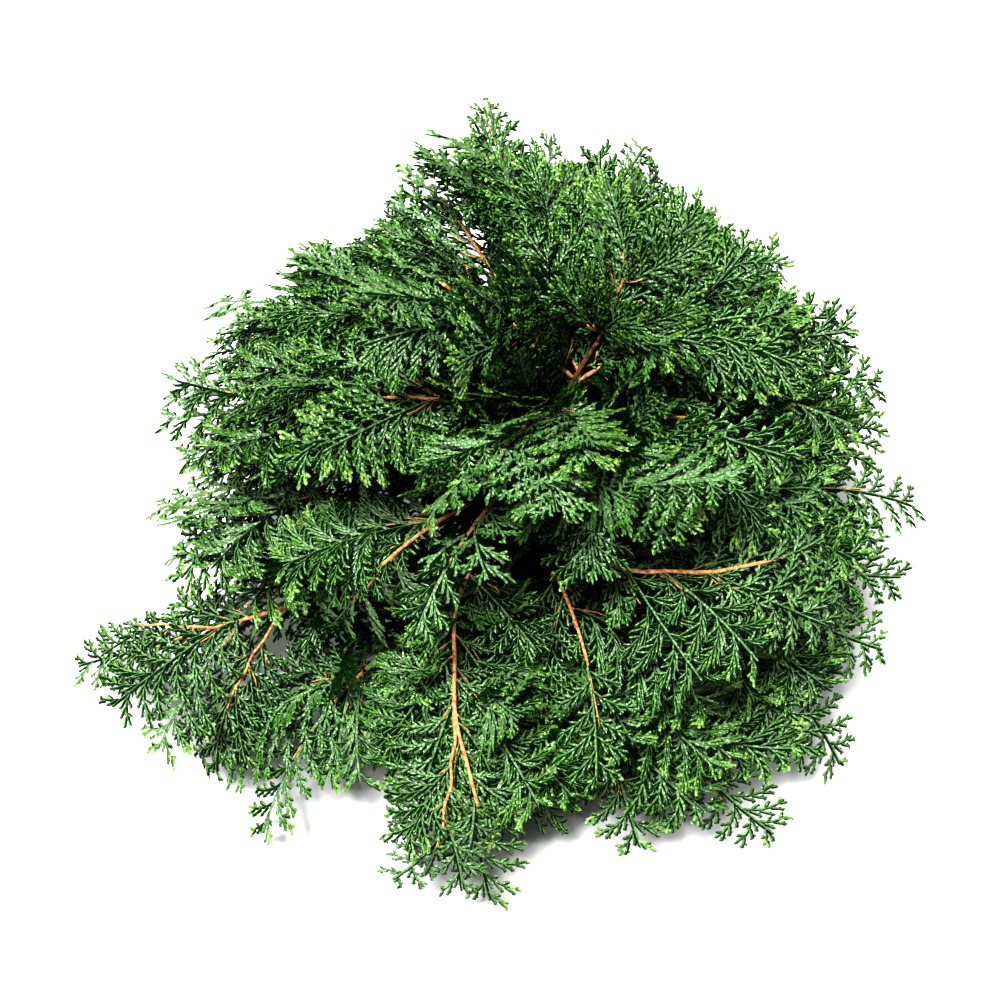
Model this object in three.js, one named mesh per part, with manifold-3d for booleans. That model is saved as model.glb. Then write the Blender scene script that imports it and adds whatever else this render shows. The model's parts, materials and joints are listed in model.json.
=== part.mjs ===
// A dwarf hinoki cypress, rooted in level ground: a leaning trunk, its main boughs and the
// flat, fern-like masses of foliage that they carry.
// Millimetres, +Z up. The origin is the middle of the flat cut under the trunk.

import * as THREE from 'three';
import Module from 'manifold-3d';

const wasm = await Module();
wasm.setup();

const UP = new THREE.Vector3(0, 0, 1);

// ---------------------------------------------------------------- driving dimensions

// Pieces that meet keep this far from each other.
const CLEARANCE = 0.3;

const TRUNK = {
  height: 262,
  lean: { x: 42, y: 12 },
  leanPower: { x: 2.6, y: 1.3 },
  footRadius: 7.5,
  tipRadius: 1.3,
  flareHeight: 30,
  flareReach: 6,
  flareRoots: 5,
  flareDepth: 0.38,
  taperPower: 0.7,
  sides: 10,
  rings: 11,
  ringPower: 1.5,
};

const BOUGH = {
  thickest: 2.7,
  endRadius: 1.5,
  trunkShare: 0.72,
  sides: 5,
  rings: 5,
};

const STEM = { tipRadius: 0.9, sides: 3, rings: 4 };

const STALK = { radius: 0.8 };

// A blade is one flat spray of scale leaves: a rib with forward-pointing side sprays. Its half
// width is a share of its length, from its first share at the root to nothing at its tip.
const BLADE = {
  ridge: 0.9,
  ribHalfWidth: 3,
  ribEndHalfWidth: 1.5,
  firstWidth: 0.66,
  tipPower: 2.6,
  widthShare: 0.4,
  lastToothAt: 0.86,
  widestAt: 0.55,
  toothAngle: 38,
  longFrom: 90,
  teethLong: 4,
  teethShort: 3,
};

// How a mass branches. Angles are in degrees from the stem, lengths in millimetres. A limb as long
// as fullAt carries sprigs of full size.
const GROWTH = {
  firstSprigAt: 0.05,
  lastSprigAt: 0.9,
  endShare: 0.33,
  endSunk: 0.02,
  angleAtRoot: 64,
  angleAtTip: 38,
  angleSpread: 12,
  liftSpread: 50,
  stalkAtRoot: 30,
  stalkAtTip: 10,
  stalkSpread: 0.4,
  forward: 0.4,
  bladeAtRoot: 80,
  bladeAtTip: 68,
  bladeSpread: 0.24,
  rollSpread: 60,
  bendLeast: 8,
  bendSpread: 24,
  fullAt: 150,
  leastVigour: 0.62,
  shorter: [1, 0.82, 0.66],
  spaceSlack: 30,
};

const BARK = { color: '#8f5a34', roughness: 0.88 };
const GREENS = ['#2f5a23', '#3b6d2c', '#2a5130', '#4b7d33'];
const FOLIAGE_ROUGHNESS = 0.6;

// Each limb: the height of its joint on the trunk, its direction round the trunk in degrees, how
// far from the foot and how high its foliage ends, how much it arches up and bows aside on the
// way, the share of its length that is bare, and how far its foliage is rolled about it.
const LIMB_FIELDS = ['name', 'joint', 'azimuth', 'reach', 'tip', 'arch', 'bow', 'bare', 'roll'];

// The main boughs, from the right round the back and the left to the front.
const BOUGHS = [
  ['right_low', 52, -10, 235, 90, 22, 6, 0.42, 18],
  ['right_tip', 92, 4, 250, 120, 24, -8, 0.44, 22],
  ['right_mid', 118, 19, 238, 160, 22, 6, 0.42, 26],
  ['right_back', 148, 29, 222, 186, 20, 8, 0.42, 24],
  ['back_right', 168, 40, 196, 216, 16, -6, 0.42, 28],
  ['back_right_top', 192, 54, 165, 238, 12, 6, 0.4, 24],
  ['top_right', 208, 70, 160, 262, 8, -5, 0.4, 30],
  ['top_mid', 224, 84, 155, 268, 6, 5, 0.4, 26],
  ['top_left', 238, 97, 180, 292, 4, 4, 0.42, 22],
  ['back_left', 204, 113, 172, 256, 10, -6, 0.4, 28],
  ['left_back_top', 178, 131, 176, 218, 16, 6, 0.4, 26],
  ['left_back', 150, 147, 218, 190, 20, -8, 0.42, 22],
  ['left_mid', 124, 161, 228, 160, 22, 8, 0.42, 24],
  ['left_low', 94, 178, 223, 120, 24, -6, 0.42, 18],
  ['left_far', 74, -164, 286, 62, 22, 12, 0.5, 8],
  ['front_left_low', 48, -134, 233, 35, 34, -6, 0.44, 16],
  ['front_left', 66, -118, 168, 66, 34, 5, 0.42, 20],
  ['front_low', 82, -97, 224, 40, 42, -12, 0.46, 6],
  ['front_right', 58, -71, 202, 50, 36, 6, 0.42, 18],
  ['front_right_low', 44, -53, 233, 40, 34, -6, 0.44, 16],
  ['right_front_low', 68, -32, 242, 50, 34, 6, 0.44, 20],
  ['right_front', 76, -20, 236, 78, 32, -6, 0.44, 22],
].map(named);

// The smaller limbs that leave the trunk inside the crown are stems with foliage from their root.
const INNER = [
  ['front_left_upper', 140, -130, 180, 186, 30, 0, 0.28, 14],
  ['front_right_upper', 88, -75, 188, 124, 40, 4, 0.28, 8],
  ['right_upper', 100, -26, 172, 150, 42, -6, 0.28, 12],
  ['right_shoulder', 158, -14, 130, 240, 20, 4, 0.28, 20],
  ['left_shoulder', 196, -172, 120, 244, 20, 6, 0.28, 18],
  ['front_crown', 216, -104, 92, 270, 10, 0, 0.25, 20],
  ['front_left_crown', 172, -113, 152, 214, 26, 5, 0.28, 16],
  ['front_right_crown', 182, -62, 142, 224, 24, -5, 0.28, 20],
  ['right_crown', 226, 4, 120, 290, 10, 0, 0.25, 26],
  ['left_crown', 232, 150, 90, 300, 8, 0, 0.25, 24],
  ['back_low', 70, 90, 190, 110, 24, 0, 0.35, 14],
  ['back_low_left', 62, 132, 198, 92, 24, 0, 0.35, 18],
  ['back_low_right', 64, 48, 198, 96, 24, 0, 0.35, 16],
].map(named);

// The leader carries on from the tip of the trunk.
const LEADER = named(['leader', 262, 22, 74, 340, 6, 0, 0, 30]);

// Where the guide points of a mass lie along its foliage.
const GUIDES_AT = [0.1, 0.35, 0.6, 0.8, 1];

const SPRIGS_PER_BOUGH = 10;
const SPRIGS_PER_INNER = 9;
const FIRST_SEED = 500;

// ---------------------------------------------------------------- numbers

const radians = (degrees) => degrees * Math.PI / 180;
const mix = (a, b, t) => a + (b - a) * t;

// A limb's row of values with their names.
function named(row) {
  return Object.fromEntries(LIMB_FIELDS.map((field, index) => [field, row[index]]));
}

// Mulberry32: evenly spread numbers from 0 to 1, the same ones for the same seed.
function seededNumbers(seed) {
  let state = seed >>> 0;
  return () => {
    state = (state + 0x6D2B79F5) >>> 0;
    let t = state;
    t = Math.imul(t ^ (t >>> 15), t | 1);
    t ^= t + Math.imul(t ^ (t >>> 7), t | 61);
    return ((t ^ (t >>> 14)) >>> 0) / 4294967296;
  };
}

// A point or direction given by its direction round the trunk.
function polar(azimuth, reach, height) {
  const angle = radians(azimuth);
  return new THREE.Vector3(reach * Math.cos(angle), reach * Math.sin(angle), height);
}

// ---------------------------------------------------------------- closed shells

// Builds the solid of a shell from its corners and its triangles.
function solidFrom(corners, triangles) {
  const vertProperties = new Float32Array(corners.flatMap((p) => [p.x, p.y, p.z]));
  const triVerts = new Uint32Array(triangles.flat());
  return new wasm.Manifold(new wasm.Mesh({ numProp: 3, vertProperties, triVerts }));
}

// A closed tube through rings that all have the same number of corners.
function loft(rings) {
  const sides = rings[0].length;
  const triangles = [];
  for (let r = 0; r + 1 < rings.length; r += 1) {
    for (let s = 0; s < sides; s += 1) {
      const a = r * sides + s;
      const b = r * sides + (s + 1) % sides;
      triangles.push([a, b, b + sides]);
      triangles.push([a, b + sides, a + sides]);
    }
  }
  const last = (rings.length - 1) * sides;
  for (let s = 1; s + 1 < sides; s += 1) {
    triangles.push([0, s + 1, s]);
    triangles.push([last, last + s, last + s + 1]);
  }
  return solidFrom(rings.flat(), triangles);
}

// A tapering limb along part of a path, square to it at both ends.
function limb(path, from, to, radiusFrom, radiusTo, sides, ringCount) {
  const rings = [];
  for (let r = 0; r < ringCount; r += 1) {
    const share = r / (ringCount - 1);
    const t = mix(from, to, share);
    const radius = mix(radiusFrom, radiusTo, share);
    const { side, top } = path.frame(t);
    const centre = path.at(t);
    const ring = [];
    for (let s = 0; s < sides; s += 1) {
      const angle = 2 * Math.PI * s / sides;
      ring.push(centre.clone()
        .addScaledVector(side, radius * Math.cos(angle))
        .addScaledVector(top, radius * Math.sin(angle)));
    }
    rings.push(ring);
  }
  return loft(rings);
}

// ---------------------------------------------------------------- trunk

function trunkCentre(height) {
  const share = height / TRUNK.height;
  return new THREE.Vector3(
    TRUNK.lean.x * share ** TRUNK.leanPower.x,
    TRUNK.lean.y * share ** TRUNK.leanPower.y,
    height,
  );
}

function trunkRadius(height) {
  return mix(TRUNK.footRadius, TRUNK.tipRadius, (height / TRUNK.height) ** TRUNK.taperPower);
}

// The root flare: how far the foot stands out at a height and an angle round the trunk.
function flare(height, angle) {
  const left = Math.max(0, 1 - height / TRUNK.flareHeight);
  const root = 1 - TRUNK.flareDepth * (1 - Math.cos(TRUNK.flareRoots * angle));
  return TRUNK.flareReach * left ** 2 * root;
}

// The trunk's rings lie closer together in the flare. The cutting trunk is larger all round.
function trunkSolid(larger) {
  const rings = [];
  for (let r = 0; r < TRUNK.rings; r += 1) {
    const height = (TRUNK.height + larger) * (r / (TRUNK.rings - 1)) ** TRUNK.ringPower;
    const centre = trunkCentre(height);
    const ring = [];
    for (let s = 0; s < TRUNK.sides; s += 1) {
      const angle = 2 * Math.PI * s / TRUNK.sides;
      const radius = trunkRadius(height) + flare(height, angle) + larger;
      ring.push(new THREE.Vector3(
        centre.x + radius * Math.cos(angle),
        centre.y + radius * Math.sin(angle),
        height,
      ));
    }
    rings.push(ring);
  }
  return loft(rings);
}

// ---------------------------------------------------------------- limb paths

// The path of a limb from the trunk's middle to the tip of its foliage, with a frame along it:
// along the limb, to its left side, and out of its upper face.
function limbPath(spec) {
  const start = trunkCentre(spec.joint);
  const end = polar(spec.azimuth, spec.reach, spec.tip);
  const left = polar(spec.azimuth + 90, 1, 0);
  const middle = start.clone().lerp(end, 0.5)
    .addScaledVector(UP, 2 * spec.arch)
    .addScaledVector(left, 2 * spec.bow);
  const curve = new THREE.QuadraticBezierCurve3(start, middle, end);
  const length = curve.getLength();
  const roll = radians(spec.roll);
  const frame = (t) => {
    const along = curve.getTangent(t);
    const side = left.clone().addScaledVector(along, -left.dot(along)).normalize();
    const top = along.clone().cross(side);
    side.applyAxisAngle(along, roll);
    top.applyAxisAngle(along, roll);
    return { along, side, top };
  };
  return { curve, length, frame, at: (t) => curve.getPoint(t) };
}

// ---------------------------------------------------------------- foliage

// Half the outline of a blade, from its root to its tip: the rib's edge and its teeth.
function bladeHalfOutline(length, teeth) {
  const outline = [];
  const angle = radians(BLADE.toothAngle);
  const halfWidth = length * BLADE.widthShare;
  for (let k = 0; k < teeth; k += 1) {
    const share = (k + 0.5) / teeth;
    const rootward = Math.min(1, BLADE.firstWidth + share);
    const width = halfWidth * rootward * Math.sqrt(1 - share ** BLADE.tipPower);
    const at = length * BLADE.lastToothAt * k / teeth;
    outline.push([at, mix(BLADE.ribHalfWidth, BLADE.ribEndHalfWidth, share)]);
    outline.push([at + width / Math.tan(angle), width]);
  }
  outline.push([length * BLADE.lastToothAt, BLADE.ribEndHalfWidth]);
  return outline;
}

// A sprig is one closed shell: a thin stalk from its foot, sunk in the stem, and then a toothed
// blade with a low ridge on both faces, which is thin at its outline and bends down to its tip.
function sprigSolid(sprig, scale) {
  const length = sprig.length * scale;
  const teeth = length > BLADE.longFrom ? BLADE.teethLong : BLADE.teethShort;
  const half = bladeHalfOutline(length, teeth);
  const curl = radians(sprig.bend) / length;
  const root = sprig.foot.clone().lerp(sprig.root, scale);
  const onStalk = (v, w) => sprig.foot.clone()
    .addScaledVector(sprig.side, v)
    .addScaledVector(sprig.top, w);
  const onBlade = (u, v, w) => root.clone()
    .addScaledVector(sprig.along, u)
    .addScaledVector(sprig.side, v)
    .addScaledVector(sprig.top, w - 0.5 * curl * u * u);
  const ribs = half.filter((point, index) => index % 2 === 0);
  const corners = [onBlade(length, 0, 0), onStalk(0, STALK.radius)];
  const triangles = [];
  const footEdges = [];
  const upper = ribs.map(([u]) => corners.push(onBlade(u, 0, BLADE.ridge)) - 1);
  const lower = ribs.map(([u]) => corners.push(onBlade(u, 0, -BLADE.ridge)) - 1);
  for (const hand of [1, -1]) {
    footEdges.push(corners.push(onStalk(hand * STALK.radius, -0.5 * STALK.radius)) - 1);
    const edge = half.map(([u, v]) => corners.push(onBlade(u, hand * v, 0)) - 1);
    const add = (i, j, k) => triangles.push(hand > 0 ? [i, j, k] : [i, k, j]);
    for (let k = 0; k + 1 < ribs.length; k += 1) {
      const [valley, tip, next] = [edge[2 * k], edge[2 * k + 1], edge[2 * k + 2]];
      add(upper[k], tip, valley);
      add(upper[k], next, tip);
      add(upper[k], upper[k + 1], next);
      add(lower[k], valley, tip);
      add(lower[k], tip, next);
      add(lower[k], next, lower[k + 1]);
    }
    const end = ribs.length - 1;
    add(upper[end], 0, edge[2 * end]);
    add(lower[end], edge[2 * end], 0);
    add(1, upper[0], edge[0]);
    add(1, edge[0], footEdges.at(-1));
    add(footEdges.at(-1), edge[0], lower[0]);
  }
  const [leftFoot, rightFoot] = footEdges;
  triangles.push([leftFoot, lower[0], rightFoot]);
  triangles.push([1, leftFoot, rightFoot]);
  return solidFrom(corners, triangles);
}

// The sprig that carries on from the end of the stem to the tip of the mass.
function endSprig(path, number) {
  const footAt = 1 - GROWTH.endShare;
  const foot = path.at(footAt - GROWTH.endSunk);
  const root = path.at(footAt + GROWTH.endSunk);
  const along = path.at(1).sub(root).normalize();
  const side = path.frame(footAt).top.cross(along).normalize();
  const top = along.clone().cross(side);
  const bend = GROWTH.bendLeast + GROWTH.bendSpread * number();
  return { foot, root, along, side, top, length: root.distanceTo(path.at(1)), bend };
}

// A side sprig leaves the stem to one hand, and its blade turns forward and is rolled a little.
// It is smaller on a short limb.
function sideSprig(path, bare, share, hand, number) {
  const vigour = Math.max(GROWTH.leastVigour, Math.min(1, path.length / GROWTH.fullAt));
  const stemAt = mix(GROWTH.firstSprigAt, GROWTH.lastSprigAt, share);
  const t = mix(bare, 1 - GROWTH.endShare, stemAt);
  const { along: stem, side: left, top: out } = path.frame(t);
  const angle = radians(mix(GROWTH.angleAtRoot, GROWTH.angleAtTip, share)
    + GROWTH.angleSpread * (number() - 0.5));
  const lift = radians(GROWTH.liftSpread * (number() - 0.5));
  const outward = left.clone().multiplyScalar(hand * Math.cos(lift))
    .addScaledVector(out, Math.sin(lift));
  const stalk = stem.clone().multiplyScalar(Math.cos(angle))
    .addScaledVector(outward, Math.sin(angle));
  const reach = vigour * mix(GROWTH.stalkAtRoot, GROWTH.stalkAtTip, share)
    * (1 + GROWTH.stalkSpread * (number() - 0.5));
  const foot = path.at(t);
  const root = foot.clone().addScaledVector(stalk, reach);
  const along = stalk.clone().addScaledVector(stem, GROWTH.forward).normalize();
  const side = out.clone().cross(along).normalize();
  side.applyAxisAngle(along, radians(GROWTH.rollSpread * (number() - 0.5)));
  const top = along.clone().cross(side);
  const length = vigour * mix(GROWTH.bladeAtRoot, GROWTH.bladeAtTip, share)
    * (1 + GROWTH.bladeSpread * (number() - 0.5));
  const bend = GROWTH.bendLeast + GROWTH.bendSpread * number();
  return { foot, root, along, side, top, length, bend };
}

// All the sprigs that a mass would carry if nothing were in their way, the end one first.
function growSprigs(path, bare, count, seed) {
  const number = seededNumbers(seed);
  const sprigs = [endSprig(path, number)];
  for (let k = 0; k + 1 < count; k += 1) {
    const hand = k % 2 === 0 ? 1 : -1;
    sprigs.push(sideSprig(path, bare, k / (count - 2), hand, number));
  }
  return sprigs;
}

// ---------------------------------------------------------------- keeping apart

function boxesMeet(a, b) {
  return [0, 1, 2].every((i) => a.min[i] <= b.max[i] + CLEARANCE && b.min[i] <= a.max[i] + CLEARANCE);
}

function clearOf(solid, others) {
  const box = solid.boundingBox();
  return others.every((other) => !boxesMeet(box, other.box)
    || solid.minGap(other.solid, 2 * CLEARANCE) >= CLEARANCE);
}

// A sprig keeps to its mass's space: its tip and its widest places lie nearer to the guide points
// of its own mass than to those of any other, but for a little slack.
function keepsSpace(mass, sprig, scale) {
  const length = sprig.length * scale;
  const width = length * BLADE.widthShare;
  const root = sprig.foot.clone().lerp(sprig.root, scale);
  const tip = root.clone().addScaledVector(sprig.along, length);
  const middle = root.clone().addScaledVector(sprig.along, BLADE.widestAt * length);
  const places = [tip, middle.clone().addScaledVector(sprig.side, width),
    middle.clone().addScaledVector(sprig.side, -width)];
  const nearest = (place, guides) => Math.min(...guides.map((guide) => guide.distanceTo(place)));
  return places.every((place) => {
    const own = nearest(place, mass.guides);
    return masses.every((other) => other === mass
      || own < nearest(place, other.guides) + GROWTH.spaceSlack);
  });
}

// The largest body of a solid: a loose scrap is dropped and a sealed hollow is filled.
function mainBody(solid) {
  return solid.decompose().reduce((best, next) => (next.volume() > best.volume() ? next : best));
}

// ---------------------------------------------------------------- the plant

const trunk = trunkSolid(0);
const cuttingTrunk = trunkSolid(CLEARANCE);

function limbRadius(joint) {
  return Math.min(BOUGH.thickest, BOUGH.trunkShare * trunkRadius(joint));
}

const boughs = BOUGHS.map((spec) => {
  const path = limbPath(spec);
  const radius = limbRadius(spec.joint);
  const endRadius = Math.min(radius, BOUGH.endRadius);
  const whole = limb(path, 0, spec.bare, radius, endRadius, BOUGH.sides, BOUGH.rings);
  return { spec, path, solid: mainBody(whole.subtract(cuttingTrunk)) };
});

function makeMass(spec, path, from, radius, count, index) {
  const to = 1 - GROWTH.endShare;
  const stem = limb(path, from, to, radius, STEM.tipRadius, STEM.sides, STEM.rings);
  const guides = GUIDES_AT.map((share) => path.at(mix(spec.bare, 1, share)));
  const sprigs = growSprigs(path, spec.bare, count, FIRST_SEED + index);
  return { spec, guides, sprigs, stem, solids: [] };
}

const boughMasses = boughs.map(({ spec, path }, index) => {
  const from = spec.bare + CLEARANCE / path.length;
  return makeMass(spec, path, from, BOUGH.endRadius, SPRIGS_PER_BOUGH, index);
});

const innerMasses = INNER.map((spec, index) => {
  const path = limbPath(spec);
  const radius = Math.min(BOUGH.endRadius, limbRadius(spec.joint));
  const mass = makeMass(spec, path, 0, radius, SPRIGS_PER_INNER, BOUGHS.length + index);
  mass.stem = mainBody(mass.stem.subtract(cuttingTrunk));
  return mass;
});

function makeLeader() {
  const path = limbPath(LEADER);
  const index = BOUGHS.length + INNER.length;
  const mass = makeMass(LEADER, path, 0, TRUNK.tipRadius, SPRIGS_PER_INNER, index);
  mass.stem = mainBody(mass.stem.subtract(cuttingTrunk));
  return mass;
}

const masses = [...boughMasses, ...innerMasses, makeLeader()];

// Sprigs are set in turns, one to each mass, so that no mass takes another's room.
function setSprigs() {
  const boxed = (owner, solid) => ({ owner, solid, box: solid.boundingBox() });
  const wood = [boxed(null, trunk), ...boughs.map(({ solid }) => boxed(null, solid))];
  const grown = masses.map((mass) => boxed(mass, mass.stem));
  const most = Math.max(...masses.map((mass) => mass.sprigs.length));
  for (let k = 0; k < most; k += 1) {
    for (const mass of masses) {
      const sprig = mass.sprigs[k];
      if (!sprig) {
        continue;
      }
      const others = [...wood, ...grown.filter((other) => other.solid !== mass.stem)];
      for (const scale of GROWTH.shorter) {
        const solid = sprigSolid(sprig, scale);
        if (keepsSpace(mass, sprig, scale) && clearOf(solid, others)) {
          mass.solids.push(solid);
          grown.push(boxed(mass, solid));
          break;
        }
      }
    }
  }
}

setSprigs();

// ---------------------------------------------------------------- scene graph

function geometryOf(solid) {
  const mesh = solid.getMesh();
  const geometry = new THREE.BufferGeometry();
  geometry.setAttribute('position', new THREE.BufferAttribute(new Float32Array(mesh.vertProperties), 3));
  geometry.setIndex(new THREE.BufferAttribute(new Uint32Array(mesh.triVerts), 1));
  geometry.computeVertexNormals();
  return geometry;
}

function addPiece(group, name, solid, look) {
  const material = new THREE.MeshStandardMaterial({ ...look, metalness: 0 });
  const mesh = new THREE.Mesh(geometryOf(solid), material);
  mesh.name = name;
  group.add(mesh);
}

const plant = new THREE.Group();
addPiece(plant, 'trunk', trunk, BARK);
for (const { spec, solid } of boughs) {
  addPiece(plant, `bough_${spec.name}`, solid, BARK);
}
masses.forEach((mass, index) => {
  const solid = mainBody(mass.solids.reduce((joined, next) => joined.add(next), mass.stem));
  const look = { color: GREENS[index % GREENS.length], roughness: FOLIAGE_ROUGHNESS };
  addPiece(plant, `foliage_${mass.spec.name}`, solid, look);
});

export default plant;
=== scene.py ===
"""A dwarf hinoki cypress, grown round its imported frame.

The trunk, boughs and stems of the frame get bark, and each mass of foliage becomes flat,
fern-like sprays of scale leaves, which grow from the limbs by the same seeded rule.
"""

import json
import math
from functools import cache
from types import SimpleNamespace

import bpy
import numpy as np
from bpy.props import FloatProperty, FloatVectorProperty, IntProperty, PointerProperty
from bpy.types import Operator, Panel, PropertyGroup
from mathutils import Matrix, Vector

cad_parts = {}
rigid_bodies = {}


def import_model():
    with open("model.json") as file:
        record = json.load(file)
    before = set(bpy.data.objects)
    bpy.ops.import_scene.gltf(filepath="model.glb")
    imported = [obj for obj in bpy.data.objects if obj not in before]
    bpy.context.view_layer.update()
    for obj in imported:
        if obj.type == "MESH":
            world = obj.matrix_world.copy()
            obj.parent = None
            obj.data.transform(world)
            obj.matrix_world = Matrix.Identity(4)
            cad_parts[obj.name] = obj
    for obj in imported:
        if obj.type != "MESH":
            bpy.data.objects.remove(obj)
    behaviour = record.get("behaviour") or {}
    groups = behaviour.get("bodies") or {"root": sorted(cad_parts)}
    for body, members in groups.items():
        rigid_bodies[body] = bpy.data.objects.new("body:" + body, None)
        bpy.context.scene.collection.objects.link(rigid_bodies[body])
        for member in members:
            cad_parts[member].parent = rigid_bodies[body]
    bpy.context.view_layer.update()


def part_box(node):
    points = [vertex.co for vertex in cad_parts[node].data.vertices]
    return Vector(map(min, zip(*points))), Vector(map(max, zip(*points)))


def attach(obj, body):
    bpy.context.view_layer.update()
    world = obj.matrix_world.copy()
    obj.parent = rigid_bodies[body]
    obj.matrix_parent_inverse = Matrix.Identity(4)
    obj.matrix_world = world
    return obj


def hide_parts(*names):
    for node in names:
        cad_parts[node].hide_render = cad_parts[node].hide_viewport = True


bl_info = {
    "name": "Dwarf Hinoki Cypress",
    "version": (1, 0, 0),
    "blender": (4, 5, 0),
    "location": "3D View > Sidebar > Hinoki",
    "description": "Bark, twigs and scale-leaf sprays for a dwarf hinoki cypress",
    "category": "Add Mesh",
}

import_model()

BODY = "root"

# Growth is worked out in millimetres and turned into metres when a mesh is made.
METRES = 0.001

UPWARD = np.array([0, 0, 1.0])

# ---------------------------------------------------------------- the frame's driving dimensions

# Trunk: an upright line that leans more and more, tapering from its flared foot.
TRUNK_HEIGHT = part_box("trunk")[1].z / METRES
TRUNK_LEAN = (42, 12)
TRUNK_LEAN_POWER = (2.6, 1.3)
TRUNK_FOOT_RADIUS = 7.5
TRUNK_TIP_RADIUS = 1.3
TRUNK_TAPER_POWER = 0.7
FLARE_HEIGHT = 30
FLARE_REACH = 6
FLARE_ROOTS = 5
FLARE_DEPTH = 0.38

# Limbs: how thick one is at its joint, at most and as a share of the trunk, where a bough ends, and
# at the tips of a stem, of a bare limb's stem and of a side limb's.
BOUGH_THICKEST = 2.7
BOUGH_TRUNK_SHARE = 0.72
BOUGH_END_RADIUS = 1.5
STEM_TIP_RADIUS = 0.9
SHOWN_TIP_RADIUS = 1.1
FORK_TIP_RADIUS = 0.7

# How far a bare limb's stem sways from its line.
CROOKED = 0.9

# Stalks: their radii, how far into its blade each is wooded, and how high it lies on the blade.
STALK_RADIUS = 0.8
SIDE_STALK_RADIUS = 0.6
STALK_END_RADIUS = 0.4
END_WOODED = 0.55
SHOWN_WOODED = 0.3
SIDE_WOODED = 0.1
STALK_OVER = 0.25

# Each limb: the height of its joint on the trunk, its direction round the trunk in degrees, how
# far from the foot and how high its foliage ends, how much it arches up and bows aside on the
# way, the share of its length that is bare, and how far its foliage is rolled about it.
LIMB_FIELDS = ("name", "joint", "azimuth", "reach", "tip", "arch", "bow", "bare", "roll")

BOUGHS = (
    ("right_low", 52, -10, 235, 90, 22, 6, 0.42, 18),
    ("right_tip", 92, 4, 250, 120, 24, -8, 0.44, 22),
    ("right_mid", 118, 19, 238, 160, 22, 6, 0.42, 26),
    ("right_back", 148, 29, 222, 186, 20, 8, 0.42, 24),
    ("back_right", 168, 40, 196, 216, 16, -6, 0.42, 28),
    ("back_right_top", 192, 54, 165, 238, 12, 6, 0.4, 24),
    ("top_right", 208, 70, 160, 262, 8, -5, 0.4, 30),
    ("top_mid", 224, 84, 155, 268, 6, 5, 0.4, 26),
    ("top_left", 238, 97, 180, 292, 4, 4, 0.42, 22),
    ("back_left", 204, 113, 172, 256, 10, -6, 0.4, 28),
    ("left_back_top", 178, 131, 176, 218, 16, 6, 0.4, 26),
    ("left_back", 150, 147, 218, 190, 20, -8, 0.42, 22),
    ("left_mid", 124, 161, 228, 160, 22, 8, 0.42, 24),
    ("left_low", 94, 178, 223, 120, 24, -6, 0.42, 18),
    ("left_far", 74, -164, 286, 62, 22, 12, 0.5, 8),
    ("front_left_low", 48, -134, 233, 35, 34, -6, 0.44, 16),
    ("front_left", 66, -118, 168, 66, 34, 5, 0.42, 20),
    ("front_low", 82, -97, 224, 40, 42, -12, 0.46, 6),
    ("front_right", 58, -71, 202, 50, 36, 6, 0.42, 18),
    ("front_right_low", 44, -53, 233, 40, 34, -6, 0.44, 16),
    ("right_front_low", 68, -32, 242, 50, 34, 6, 0.44, 20),
    ("right_front", 76, -20, 236, 78, 32, -6, 0.44, 22),
)

INNER = (
    ("front_left_upper", 140, -130, 180, 186, 30, 0, 0.28, 14),
    ("front_right_upper", 88, -75, 188, 124, 40, 4, 0.28, 8),
    ("right_upper", 100, -26, 172, 150, 42, -6, 0.28, 12),
    ("right_shoulder", 158, -14, 130, 240, 20, 4, 0.28, 20),
    ("left_shoulder", 196, -172, 120, 244, 20, 6, 0.28, 18),
    ("front_crown", 216, -104, 92, 270, 10, 0, 0.25, 20),
    ("front_left_crown", 172, -113, 152, 214, 26, 5, 0.28, 16),
    ("front_right_crown", 182, -62, 142, 224, 24, -5, 0.28, 20),
    ("right_crown", 226, 4, 120, 290, 10, 0, 0.25, 26),
    ("left_crown", 232, 150, 90, 300, 8, 0, 0.25, 24),
    ("back_low", 70, 90, 190, 110, 24, 0, 0.35, 14),
    ("back_low_left", 62, 132, 198, 92, 24, 0, 0.35, 18),
    ("back_low_right", 64, 48, 198, 96, 24, 0, 0.35, 16),
)

LEADER = ("leader", 262, 22, 74, 340, 6, 0, 0, 30)

# Finer limbs that come out of the crown's hollow and lie bare over its sprays.
SHOWN = (
    ("right_fork", 110, -20, 184, 176, 44, -62, 0.36, 10),
    ("front_long", 150, -91, 220, 58, 37, -40, 0.46, 6),
)

# Side limbs: the limb and the share of its length that each forks off at, and the share of its own
# length that its end sprig takes.
FORK_FIELDS = (
    "name", "parent", "share", "azimuth", "reach", "tip", "arch", "bow", "bare", "roll", "end",
)
FORKS = (
    ("front_fork", "front_long", 0.6, -104, 218, 52, 8, 6, 0.3, 6, 0.2),
    ("left_far_fork", "left_far", 0.52, -143, 233, 48, 8, -4, 0.25, -10, 0.35),
    ("left_tip_fork", "left_far", 0.68, -170, 281, 72, 3, 2, 0.1, -8, 0.5),
    ("left_gap_fork", "front_left_upper", 0.6, -144, 142, 105, 2, 0, 0.05, -10, 0.45),
    ("left_back_fork", "left_back", 0.6, 156, 220, 172, 4, 4, 0.1, -20, 0.5),
    ("left_top_fork", "left_back_top", 0.6, 116, 197, 238, 4, 4, 0.1, -20, 0.5),
    ("top_right_fork", "top_right", 0.62, 71, 186, 274, 4, -6, 0.1, 20, 0.5),
    ("back_right_fork", "back_right", 0.62, 42, 220, 206, 4, -4, 0.1, 20, 0.5),
)

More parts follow.
